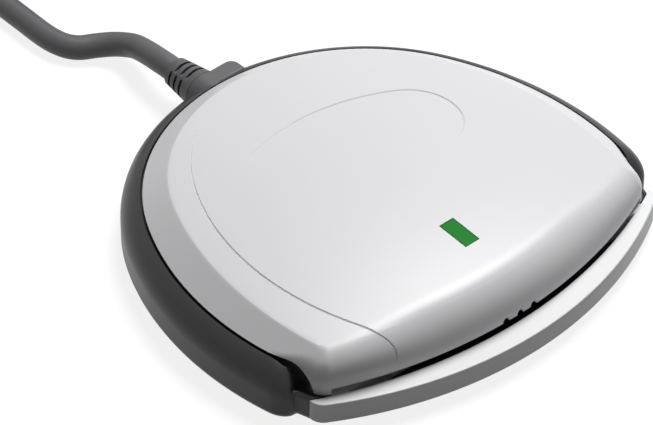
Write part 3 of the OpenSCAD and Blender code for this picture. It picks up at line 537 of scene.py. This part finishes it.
def longRoute(form):
    centre = Vector(form["longCentre"])
    endCentre = centre + (form["longR"] - form["endR"]) * wayAt(math.radians(form["join"]))
    route = arcRoute(endCentre, form["endR"], form["endFrom"], form["join"], form["spacing"])
    route += arcRoute(centre, form["longR"], form["join"], form["longTo"], form["spacing"])[1:]
    bend = [route[-form["bendBack"]]] + [Vector(p) for p in form["frontPoints"]]
    return route[:-form["bendBack"]] + [onCover(p) for p in smoothLine(bend, form["bendSteps"])]


def hookRoute(form):
    centre = Vector(form["hookCentre"])
    topCentre = centre - (form["topR"] - form["hookR"]) * wayAt(math.radians(form["hookJoin"]))
    route = arcRoute(topCentre, form["topR"], form["topTo"], form["hookJoin"], form["spacing"])
    route += arcRoute(centre, form["hookR"], form["hookJoin"], form["hookFrom"], form["spacing"])[1:]
    return route


windowForm = dict(
    at=(-0.2, -17.9), size=(2.5, 5.1), low=6, high=16, play=0.05, deep=2.7, grid=(6, 12),
    edge=0.12, edgeSteps=3, edgeAngle=50, sharp=30,
)
notchForm = dict(places=(-2.5, 0, 2.45), radius=0.55, z=5.95, reach=3, sides=24)

x, y = windowForm["at"]
halfX, halfY = (size / 2 for size in windowForm["size"])
cutters = [
    grooveCutter(longRoute(lineForm), lineForm, lineForm["longFades"]),
    grooveCutter(hookRoute(lineForm), lineForm, lineForm["hookFades"]),
    cutter(
        addBox, (x - halfX, y - halfY, windowForm["low"]), (x + halfX, y + halfY, windowForm["high"])
    ),
]
for x in notchForm["places"]:
    cutters.append(cutter(
        addRod, -caseForm["frontReach"] - notchForm["reach"], -caseForm["frontReach"] + notchForm["reach"],
        notchForm["z"], notchForm["radius"], notchForm["sides"], x=x
    ))
cutWith(cover, cutters)
weighNormals(cover, coverForm["sharpCut"])
print("lines, window and notches cut:", len(cover.data.polygons), "faces")


# ---- base with its rim

rimForm = dict(
    lowRound=1.0, grooveW=0.36, grooveZ=7.5, grooveIn=0.02, lip=0.1, tuck=0.22, stripOut=1.1, stripZ=4.85,
    planFrom=-17.2, planTo=-19.85, fallFrom=-15.6, fallTo=-19.5, endZ=4.6, corner=0.4, inside=0.6,
    insideCorner=2.0 / 3, coverFit=0.05, leastGap=0.02, leastR=0.01, lowSteps=5, arcSteps=16, sharp=28,
    sharpCut=30,
)


def baseColumn(facing):
    form = rimForm
    edge = outlinePoint(facing, 0, 0, caseForm["cornerR"])
    stand = form["stripOut"] + (caseForm["rimW"] - form["stripOut"]) * quarterFall(
        edge.y, form["planFrom"], form["planTo"]
    )
    outer = outlinePoint(facing, stand, 0, form["corner"])
    inner = outlinePoint(facing, -form["inside"], -caseForm["wall"], form["insideCorner"])
    under = outlinePoint(facing, stand - form["lowRound"], -form["lowRound"], form["corner"])
    gap = (edge - outer).length
    inward = (edge - outer) / gap if gap > form["leastGap"] else Vector((0, 0))
    base = caseForm["baseZ"]
    fall = quarterFall(edge.y, form["fallFrom"], form["fallTo"])
    high = max(form["endZ"] + (caseForm["seamZ"] - form["endZ"]) * fall, form["stripZ"])
    ledge = coverLow(facing)
    if overSlot(edge):
        high = ledge = caseForm["floorZ"]
    tall = (high - base - form["lowRound"]) / (caseForm["seamZ"] - base - form["lowRound"])
    radius = caseForm["rimRound"] * tall * min(1, gap / caseForm["rimW"]) + form["leastR"]
    width = max(gap - form["grooveW"], 0)
    end = math.acos(max(1 - width / radius, 0))
    points = [under.to_3d() + Vector((0, 0, base))]
    for k in range(1, form["lowSteps"] + 1):
        angle = math.pi / 2 * k / form["lowSteps"]
        flat = under + (outer - under) * math.sin(angle)
        points.append(Vector((flat.x, flat.y, base + form["lowRound"] * (1 - math.cos(angle)))))
    for k in range(form["arcSteps"] + 1):
        angle = end * k / form["arcSteps"]
        flat = outer + inward * radius * (1 - math.cos(angle))
        points.append(Vector((flat.x, flat.y, high - radius * (1 - math.sin(angle)))))
    # the wall inside the groove keeps behind the lower edge of the cover, also where that edge curls in
    inset = (edge - columnFrame(facing)[2].xy).length
    wallIn = form["coverFit"] - inset - min(inset, form["tuck"])
    grooveIn = form["grooveW"] - form["grooveIn"]
    lipZ = points[-1].z - form["lip"]
    grooveZ = min(form["grooveZ"], lipZ)
    for away, z in ((grooveIn, lipZ), (grooveIn, grooveZ), (wallIn, grooveZ), (wallIn, ledge)):
        flat = outer + inward * max(gap - away, 0)
        points.append(Vector((flat.x, flat.y, z)))
    points.append(Vector((inner.x, inner.y, ledge)))
    points.append(Vector((inner.x, inner.y, caseForm["floorZ"])))
    return points


def baseTray():
    rings = [mirrored(list(half)) for half in zip(*[baseColumn(a) for a in rightHalf])]
    bm = bmesh.new()
    closeEnds(bm, loftRings(bm, rings))
    return bm


base = finishMesh("baseShell", baseTray(), sharp=rimForm["sharp"])
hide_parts("base_shell")

baseForm = dict(
    feet=((-21, -16.5), (21, -16.5), (-10.5, 24), (10.5, 24)), footR=3.6, footIn=0.4,
    label=(15, -11, 5), labelIn=0.25, caseScrew=(17.5, 17.2), screwHeadR=2.1, headFrom=-1, headIn=2.1,
    boardPost=(11, 16.6), postFoot=1.2, caseBossR=3.1, caseBossZ=5.2, boardBossR=2.3, boardZ=7.0,
    boreR=1.1, boreFrom=-2, boardBoreR=0.83, boardBoreFrom=2.6, boreTo=9,
    cableZ=5.3, bar=dict(left=-3.1, right=5.9, front=30.6, back=35, low=4.9, high=9),
    neck=dict(half=3.7, front=26.5, low=2.4, high=7.1, lap=0.1, collarR=2.9, collarEnd=40),
)


def addBaseUnderside(bm, form):
    for place in form["feet"]:
        addCylinder(bm, place, form["footR"], 0, caseForm["baseZ"] + form["footIn"])
    half, back, front = form["label"]
    addBox(bm, (-half, back, 0), (half, front, caseForm["baseZ"] + form["labelIn"]))


def addBores(bm, form):
    addPair(bm, form["caseScrew"], form["boreR"], form["boreFrom"], form["boreTo"])
    addPair(bm, form["boardPost"], form["boardBoreR"], form["boardBoreFrom"], form["boreTo"])


cutWith(base, [
    cutter(
        addPair, baseForm["caseScrew"], baseForm["caseBossR"], baseForm["postFoot"], baseForm["caseBossZ"]
    ),
    cutter(addPair, baseForm["boardPost"], baseForm["boardBossR"], baseForm["postFoot"], baseForm["boardZ"]),
], "UNION")
# the gland's bar, its neck and the collar pass through the back wall
bar, neck = baseForm["bar"], baseForm["neck"]
cutWith(base, [
    cutter(addBaseUnderside, baseForm),
    cutter(
        addPair, baseForm["caseScrew"], baseForm["screwHeadR"], baseForm["headFrom"],
        caseForm["baseZ"] + baseForm["headIn"]
    ),
    cutter(addBores, baseForm),
    cutter(addBox, (bar["left"], bar["front"], bar["low"]), (bar["right"], bar["back"], bar["high"])),
    cutter(
        addBox, (-neck["half"], neck["front"], neck["low"]),
        (neck["half"], bar["front"] + neck["lap"], neck["high"])
    ),
    cutter(addRod, neck["front"], neck["collarEnd"], baseForm["cableZ"], neck["collarR"]),
])
weighNormals(base, rimForm["sharpCut"])
print("base made:", len(base.data.polygons), "faces")


# ---- card shelf with its lip

shelfForm = dict(
    lipR=57.2, reach=3.45, thick=3.2, half=30.7, corner=2.2, edge=0.22, steps=36, cornerSteps=10,
    edgeSteps=4, edgeAngle=40, wallGap=0.1, inside=(27.8, -24.5, -12.0), sharp=30,
)


def shelfOutline(form):
    centre = Vector((0, form["lipR"] - caseForm["frontReach"] - form["reach"]))
    inner = form["lipR"] - form["corner"]
    roundX = form["half"] - form["corner"]
    turn = Vector((roundX, centre.y - math.sqrt(inner * inner - roundX * roundX)))
    startAngle = math.atan2(*(turn - centre).yx)
    right = []
    for k in range(form["steps"] + 1):
        angle = -math.pi / 2 + (startAngle + math.pi / 2) * k / form["steps"]
        right.append(centre + form["lipR"] * wayAt(angle))
    for k in range(1, form["cornerSteps"] + 1):
        right.append(turn + form["corner"] * wayAt(startAngle - startAngle * k / form["cornerSteps"]))
    wallR = caseForm["frontR"] + form["wallGap"]
    for k in range(form["steps"]):
        share = 1 - k / (form["steps"] - 1)
        x = form["half"] * share
        right.append(Vector((x, frontCentre.y - math.sqrt(wallR * wallR - x * x))))
    return right


def cardShelf(form):
    low, high = caseForm["cardZ"] - form["thick"], caseForm["cardZ"]
    bm = bmesh.new()
    under = bm.faces.new([bm.verts.new((p.x, p.y, low)) for p in mirrored(shelfOutline(form))])
    raised = bmesh.ops.extrude_face_region(bm, geom=[under])["geom"]
    bmesh.ops.translate(
        bm, vec=(0, 0, high - low), verts=[v for v in raised if isinstance(v, bmesh.types.BMVert)]
    )
    bmesh.ops.recalc_face_normals(bm, faces=bm.faces)
    bevelSharp(bm, form["edge"], form["edgeSteps"], form["edgeAngle"])
    return bm


shelf = finishMesh("cardShelf", cardShelf(shelfForm), sharp=shelfForm["sharp"])
half, back, front = shelfForm["inside"]
inner = cutter(addBox, (-half, back, caseForm["floorZ"]), (half, front, caseForm["cardZ"]))
cutWith(shelf, [inner], "UNION")
weighNormals(shelf, shelfForm["sharp"])
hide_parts("card_shelf")
print("shelf made")


# ---- status window

def statusWindow(form):
    bm = bmesh.new()
    bmesh.ops.create_grid(bm, x_segments=form["grid"][0], y_segments=form["grid"][1], size=0.5)
    bmesh.ops.scale(
        bm, vec=(form["size"][0] - 2 * form["play"], form["size"][1] - 2 * form["play"], 1), verts=bm.verts
    )
    for v in bm.verts:
        v.co = domePoint(v.co.x + form["at"][0], v.co.y + form["at"][1])
    lower = bmesh.ops.extrude_face_region(bm, geom=bm.faces[:])["geom"]
    bmesh.ops.translate(
        bm, vec=(0, 0, -form["deep"]), verts=[v for v in lower if isinstance(v, bmesh.types.BMVert)]
    )
    bmesh.ops.recalc_face_normals(bm, faces=bm.faces)
    bevelSharp(bm, form["edge"], form["edgeSteps"], form["edgeAngle"])
    return bm


window = finishMesh("statusWindow", statusWindow(windowForm), sharp=windowForm["sharp"])
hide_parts("led_window")

# ---- gland and sleeve made new, and the other small pieces from their solids with softened edges

glandForm = dict(
    left=-1.6, right=5.8, front=30.7, back=33.6, low=5.0, high=7.75, corner=1.35, cornerSteps=8,
    edge=0.4, edgeSteps=4, edgeAngle=50, collarR=2.8, collarEnd=33.45, neckFront=27.2,
    flange=(4.8, 26.9, 27.5, 2.5, 6.8), neck=(3.5, 2.5, 6.9), neckLap=0.4, boreR=1.8, boreOver=2, sharp=35,
)


def cableGland(form):
    bm = bmesh.new()
    addBox(bm, (form["left"], form["front"], form["low"]), (form["right"], form["back"], form["high"]))
    # the two upright edges at the back
    tall, near = (form["high"] - form["low"]) / 2, form["back"] - form["edge"]
    corners = [
        e for e in bm.edges
        if abs(e.verts[0].co.z - e.verts[1].co.z) > tall and min(v.co.y for v in e.verts) > near
    ]
    bmesh.ops.bevel(
        bm, geom=corners, offset=form["corner"], segments=form["cornerSteps"], profile=0.5, affect="EDGES",
        material=-1
    )
    bevelSharp(bm, form["edge"], form["edgeSteps"], form["edgeAngle"])
    bar = linkMesh("glandBar", bm)
    start, end, over = form["neckFront"], form["collarEnd"], form["boreOver"]
    half, low, high = form["neck"]
    halfFlange, flangeStart, flangeEnd, flangeLow, flangeHigh = form["flange"]
    cutWith(bar, [
        cutter(addRod, start, end, baseForm["cableZ"], form["collarR"]),
        cutter(addBox, (-half, start, low), (half, form["front"] + form["neckLap"], high)),
        cutter(addBox, (-halfFlange, flangeStart, flangeLow), (halfFlange, flangeEnd, flangeHigh)),
    ], "UNION")
    cutWith(bar, [cutter(addRod, start - over, end + over, baseForm["cableZ"], form["boreR"])])
    return bar


gland = cableGland(glandForm)
gland.name = "cableGland"
weighNormals(gland, glandForm["sharp"])
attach(gland, "case")
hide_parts("cable_gland")

# tapered sleeve, slit from above and below and from both sides in turn
reliefForm = dict(
    front=33.35, back=38.95, rootR=2.85, tipR=2.15, boreR=1.8, slit=0.45, depth=0.72, rim=0.25, sides=64,
    rings=(34.4, 35.0, 35.6, 36.2, 36.8, 37.4), cutReach=5, cutHigh=12, sharp=35,
)


def strainRelief(form):
    long = form["back"] - form["front"]
    profile = [
        (form["front"], form["boreR"]), (form["front"], form["rootR"]),
        (form["back"] - form["rim"], form["tipR"]), (form["back"], form["tipR"] - form["rim"]),
        (form["back"], form["boreR"]),
    ]
    bm = bmesh.new()
    line = [bm.verts.new((r, y, baseForm["cableZ"])) for y, r in profile]
    edges = [bm.edges.new((line[i - 1], line[i])) for i in range(len(line))]
    bmesh.ops.spin(
        bm, geom=line + edges, cent=(0, 0, baseForm["cableZ"]), axis=(0, 1, 0), angle=2 * math.pi,
        steps=form["sides"], use_merge=True, use_duplicate=False
    )
    sleeve = linkMesh("strainRelief", bm)
    out, cutters = form["cutReach"], []
    for i, y in enumerate(form["rings"]):
        keep = form["rootR"] + (form["tipR"] - form["rootR"]) * (y - form["front"]) / long - form["depth"]
        for side in (-1, 1):
            if i % 2:
                low, high = sorted((side * keep, side * out))
                cutters.append(cutter(addBox, (low, y, 0), (high, y + form["slit"], form["cutHigh"])))
            else:
                start = baseForm["cableZ"] + side * keep
                low, high = sorted((start, start + side * out))
                cutters.append(cutter(addBox, (-out, y, low), (out, y + form["slit"], high)))
    cutWith(sleeve, cutters)
    return sleeve


sleeve = strainRelief(reliefForm)
weighNormals(sleeve, reliefForm["sharp"])
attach(sleeve, "case")
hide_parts("strain_relief")
softEdges = dict(
    grip=dict(width=0.5, segments=3, angle=35), boot=dict(width=0.15, segments=2, angle=35),
    tie=dict(width=0.12, segments=2, angle=35), feet=dict(width=0.25, segments=3, angle=50),
)
grip = bevelCopy("plug_body", "plugGrip", **softEdges["grip"])
boot = bevelCopy("plug_boot", "plugBoot", **softEdges["boot"])
tie = bevelCopy("cord_tie", "cableTie", **softEdges["tie"])
feet = bevelCopy("rubber_feet", "rubberFeet", **softEdges["feet"])
print("small outer pieces made")


# ---- materials

def effectGroup(name, inputs, outputs):
    group = bpy.data.node_groups.new(name, "ShaderNodeTree")
    for label, kind, value in inputs:
        socket = group.interface.new_socket(label, in_out="INPUT", socket_type="NodeSocket" + kind)
        socket.default_value = value
    for label, kind in outputs:
        group.interface.new_socket(label, in_out="OUTPUT", socket_type="NodeSocket" + kind)
    start = group.nodes.new("NodeGroupInput")
    end = group.nodes.new("NodeGroupOutput")
    return group, start, end


def mathNode(tree, operation, *values):
    node = tree.nodes.new("ShaderNodeMath")
    node.operation = operation
    for socket, value in zip(node.inputs, values):
        if isinstance(value, bpy.types.NodeSocket):
            tree.links.new(value, socket)
        else:
            socket.default_value = value
    return node.outputs[0]


grainForm = dict(cloudScale=90, cloudDetail=4, grainDetail=2, bumpStrength=0.5, bumpDistance=0.00004)


def mouldedGrain():
    group, start, end = effectGroup(
        "mouldedGrain",
        [("Colour", "Color", (0.5, 0.5, 0.5, 1)), ("Mottle", "Float", 0.03), ("Grain Scale", "Float", 9000),
         ("Grain Depth", "Float", 0.1), ("Roughness", "Float", 0.4), ("Roughness Spread", "Float", 0.08)],
        [("Colour", "Color"), ("Roughness", "Float"), ("Height", "Float")],
    )
    nodes, links = group.nodes, group.links
    coords = nodes.new("ShaderNodeTexCoord")
    cloud = nodes.new("ShaderNodeTexNoise")
    cloud.inputs["Scale"].default_value = grainForm["cloudScale"]
    cloud.inputs["Detail"].default_value = grainForm["cloudDetail"]
    links.new(coords.outputs["Object"], cloud.inputs["Vector"])
    grain = nodes.new("ShaderNodeTexNoise")
    grain.inputs["Detail"].default_value = grainForm["grainDetail"]
    links.new(coords.outputs["Object"], grain.inputs["Vector"])
    links.new(start.outputs["Grain Scale"], grain.inputs["Scale"])
    centred = mathNode(group, "SUBTRACT", cloud.outputs["Fac"], 0.5)
    tint = nodes.new("ShaderNodeVectorMath")
    tint.operation = "SCALE"
    links.new(start.outputs["Colour"], tint.inputs[0])
    links.new(mathNode(group, "MULTIPLY_ADD", centred, start.outputs["Mottle"], 1), tint.inputs["Scale"])
    links.new(tint.outputs[0], end.inputs["Colour"])
    rough = mathNode(
        group, "MULTIPLY_ADD", centred, start.outputs["Roughness Spread"], start.outputs["Roughness"]
    )
    links.new(rough, end.inputs["Roughness"])
    height = mathNode(group, "MULTIPLY", grain.outputs["Fac"], start.outputs["Grain Depth"])
    links.new(height, end.inputs["Height"])
    return group


grainGroup = mouldedGrain()


def srgb(r, g, b):
    def linear(v):
        v /= 255
        return v / 12.92 if v <= 0.04045 else ((v + 0.055) / 1.055) ** 2.4
    return (linear(r), linear(g), linear(b), 1)


finishes = dict(
    cover=dict(colour=srgb(226, 226, 228), rough=0.34, spread=0.05, mottle=0.012, scale=5200, depth=0.16),
    # shelf: the cover's plastic painted lighter, as painted light that offsets the shade the cover casts on
    # the lip
    shelf=dict(colour=srgb(240, 240, 241), rough=0.38, spread=0.05, mottle=0.012, scale=5200, depth=0.16),
    base=dict(colour=srgb(40, 40, 42), rough=0.36, spread=0.08,
        mottle=0.10, scale=3800, depth=0.2, gloss=0.35),
    window=dict(colour=srgb(2, 124, 28), rough=0.5, spread=0.05,
        mottle=0.16, scale=1400, depth=0.2, gloss=0.12),
    relief=dict(colour=srgb(84, 84, 86), rough=0.50, spread=0.10, mottle=0.12, scale=2600, depth=0.35),
    cable=dict(colour=srgb(90, 90, 92), rough=0.44, spread=0.10, mottle=0.10, scale=1500, depth=0.25),
    board=dict(colour=srgb(22, 92, 48), rough=0.30, spread=0.10, mottle=0.25, scale=900, depth=0.1, coat=0.3),
    frame=dict(colour=srgb(34, 34, 36), rough=0.42, spread=0.10, mottle=0.12, scale=3000, depth=0.3),
    gold=dict(colour=srgb(232, 186, 92), rough=0.24, spread=0.12,
        mottle=0.08, scale=2500, depth=0.08, metal=1.0),
    tin=dict(colour=srgb(196, 197, 200), rough=0.32, spread=0.16,
        mottle=0.12, scale=2200, depth=0.12, metal=1.0),
    steel=dict(colour=srgb(186, 188, 192), rough=0.28, spread=0.14,
        mottle=0.08, scale=1800, depth=0.10, metal=1.0),
    chip=dict(colour=srgb(30, 30, 32), rough=0.55, spread=0.10, mottle=0.12, scale=3500, depth=0.3),
    ceramic=dict(colour=srgb(176, 146, 104), rough=0.45, spread=0.10, mottle=0.12, scale=2500, depth=0.2),
    resistor=dict(colour=srgb(28, 28, 30), rough=0.35, spread=0.10, mottle=0.15, scale=2500, depth=0.2),
    lens=dict(colour=srgb(216, 226, 208), rough=0.18, spread=0.05,
        mottle=0.06, scale=900, depth=0.05, coat=0.5),
    nylon=dict(colour=srgb(228, 222, 204), rough=0.42, spread=0.08, mottle=0.04, scale=2600, depth=0.2),
    red=dict(colour=srgb(178, 30, 28), rough=0.40, spread=0.08, mottle=0.08, scale=2200, depth=0.15),
    white=dict(colour=srgb(226, 226, 222), rough=0.40, spread=0.08, mottle=0.05, scale=2200, depth=0.15),
    green=dict(colour=srgb(30, 124, 52), rough=0.40, spread=0.08, mottle=0.08, scale=2200, depth=0.15),
    black=dict(colour=srgb(30, 30, 32), rough=0.42, spread=0.08, mottle=0.10, scale=2200, depth=0.15),
    rubber=dict(colour=srgb(40, 40, 42), rough=0.72, spread=0.10, mottle=0.15, scale=3000, depth=0.5),
    tie=dict(colour=srgb(52, 52, 54), rough=0.55, spread=0.10, mottle=0.12, scale=2500, depth=0.3),
    grip=dict(colour=srgb(48, 48, 50), rough=0.48, spread=0.10, mottle=0.10, scale=2800, depth=0.4),
    tongue=dict(colour=srgb(232, 232, 228), rough=0.38, spread=0.06, mottle=0.04, scale=2500, depth=0.15),
)
materials = {}


def finishMaterial(name):
    if name in materials:
        return materials[name]
    form = finishes[name]
    material = bpy.data.materials.new(name + "Finish")
    material.use_nodes = True
    nodes, links = material.node_tree.nodes, material.node_tree.links
    shader = nodes["Principled BSDF"]
    effect = nodes.new("ShaderNodeGroup")
    effect.node_tree = grainGroup
    for label, value in (
        ("Colour", "colour"), ("Mottle", "mottle"), ("Grain Scale", "scale"), ("Grain Depth", "depth"),
        ("Roughness", "rough"), ("Roughness Spread", "spread"),
    ):
        effect.inputs[label].default_value = form[value]
    links.new(effect.outputs["Colour"], shader.inputs["Base Color"])
    links.new(effect.outputs["Roughness"], shader.inputs["Roughness"])
    bump = nodes.new("ShaderNodeBump")
    bump.inputs["Strength"].default_value = grainForm["bumpStrength"]
    bump.inputs["Distance"].default_value = grainForm["bumpDistance"]
    links.new(effect.outputs["Height"], bump.inputs["Height"])
    links.new(bump.outputs["Normal"], shader.inputs["Normal"])
    shader.inputs["Metallic"].default_value = form.get("metal", 0)
    shader.inputs["Coat Weight"].default_value = form.get("coat", 0)
    shader.inputs["Specular IOR Level"].default_value = form.get("gloss", 0.5)
    materials[name] = material
    return material


nodeFinish = dict(
    top_cover="cover", base_shell="base", card_shelf="cover", led_window="window", cable_gland="relief",
    strain_relief="relief", circuit_board="board", connector_frame="frame", contacts_front="gold",
    contacts_rear="gold", contact_tails="gold", detect_lever="gold", detect_contact="gold",
    reader_chip="chip", chip_legs="tin", crystal="steel", capacitors="ceramic",
    reservoir_capacitor="steel", resistors="resistor", led_chip="lens", cable_header="nylon",
    header_pins="tin", crimp_housing="nylon", crimp_terminals="tin", wire_red="red", wire_white="white",
    wire_green="green", wire_black="black", inner_cable="cable", board_screws="steel",
    case_screws="steel", rubber_feet="rubber", cord_stretch="cable", cord_coil="cable", cord_tie="tie",
    plug_boot="grip", plug_body="grip", usb_shell="steel", usb_tongue="tongue", usb_contacts="gold",
)
pieceFinish = {
    sleeve: ("relief", "relief"), cover: ("cover", "cover"), base: ("base", "base"),
    # the shelf takes the cover's plastic painted lighter, as painted light on the lip
    shelf: ("shelf", "shelf"), window: ("window", "window"), gland: ("relief", "gland"),
    grip: ("grip", "grip"), boot: ("grip", "grip"), tie: ("tie", "tie"),
    feet: ("rubber", "foot"), cable: ("cable", "cable"),
}


def dress(obj, finish):
    obj.data.materials.clear()
    obj.data.materials.append(finishMaterial(finish))


for node, finish in nodeFinish.items():
    dress(cadNodes[node], finish)
for piece, (finish, slotName) in pieceFinish.items():
    dress(piece, finish)
print("materials set:", len(materials))

# ---- floor, lights and world

studio = dict(
    floorHalf=1.5, floorColour=(0.24, 0.24, 0.24, 1), floorRough=0.9, floorShine=0.1, floorGlow=0.85,
    keyWay=(0.40, 0.13, 0.91), keyFar=0.45, keySize=0.24, keyPower=2.0,
    fill=0.04,
)


def seenDirectly(tree):
    path = tree.nodes.new("ShaderNodeLightPath")
    seen = mathNode(tree, "MAXIMUM", path.outputs["Is Camera Ray"], path.outputs["Is Glossy Ray"])
    return mathNode(tree, "MAXIMUM", seen, path.outputs["Is Transmission Ray"])


bm = bmesh.new()
bmesh.ops.create_grid(bm, x_segments=1, y_segments=1, size=studio["floorHalf"])
floorMesh = bpy.data.meshes.new("floor")
bm.to_mesh(floorMesh)
bm.free()
floor = bpy.data.objects.new("floor", floorMesh)
bpy.context.scene.collection.objects.link(floor)
floorMaterial = bpy.data.materials.new("floorPaper")
floorMaterial.use_nodes = True
tree = floorMaterial.node_tree
nodes, links = tree.nodes, tree.links
shader = nodes["Principled BSDF"]
shader.inputs["Base Color"].default_value = studio["floorColour"]
shader.inputs["Roughness"].default_value = studio["floorRough"]
shader.inputs["Specular IOR Level"].default_value = studio["floorShine"]
glow = nodes.new("ShaderNodeEmission")
links.new(mathNode(tree, "MULTIPLY", seenDirectly(tree), studio["floorGlow"]), glow.inputs["Strength"])
both = nodes.new("ShaderNodeAddShader")
links.new(shader.outputs[0], both.inputs[0])
links.new(glow.outputs[0], both.inputs[1])
links.new(both.outputs[0], nodes["Material Output"].inputs["Surface"])
floorMesh.materials.append(floorMaterial)

keyData = bpy.data.lights.new("keyPanel", "AREA")
keyData.shape = "DISK"
keyData.size = studio["keySize"]
keyData.energy = studio["keyPower"]
key = bpy.data.objects.new("keyPanel", keyData)
keyWay = Vector(studio["keyWay"]).normalized()
key.location = keyWay * studio["keyFar"]
key.rotation_euler = keyWay.to_track_quat("Z", "Y").to_euler()
bpy.context.scene.collection.objects.link(key)

world = bpy.data.worlds.new("studioWorld")
bpy.context.scene.world = world
world.use_nodes = True
nodes, links = world.node_tree.nodes, world.node_tree.links
sky = nodes["Background"]
sky.inputs["Color"].default_value = (1, 1, 1, 1)
level = nodes.new("ShaderNodeMapRange")
level.inputs["To Min"].default_value = studio["fill"]
level.inputs["To Max"].default_value = 1
links.new(seenDirectly(world.node_tree), level.inputs["Value"])
links.new(level.outputs["Result"], sky.inputs["Strength"])
bpy.context.scene.view_settings.view_transform = "Standard"
print("studio set")
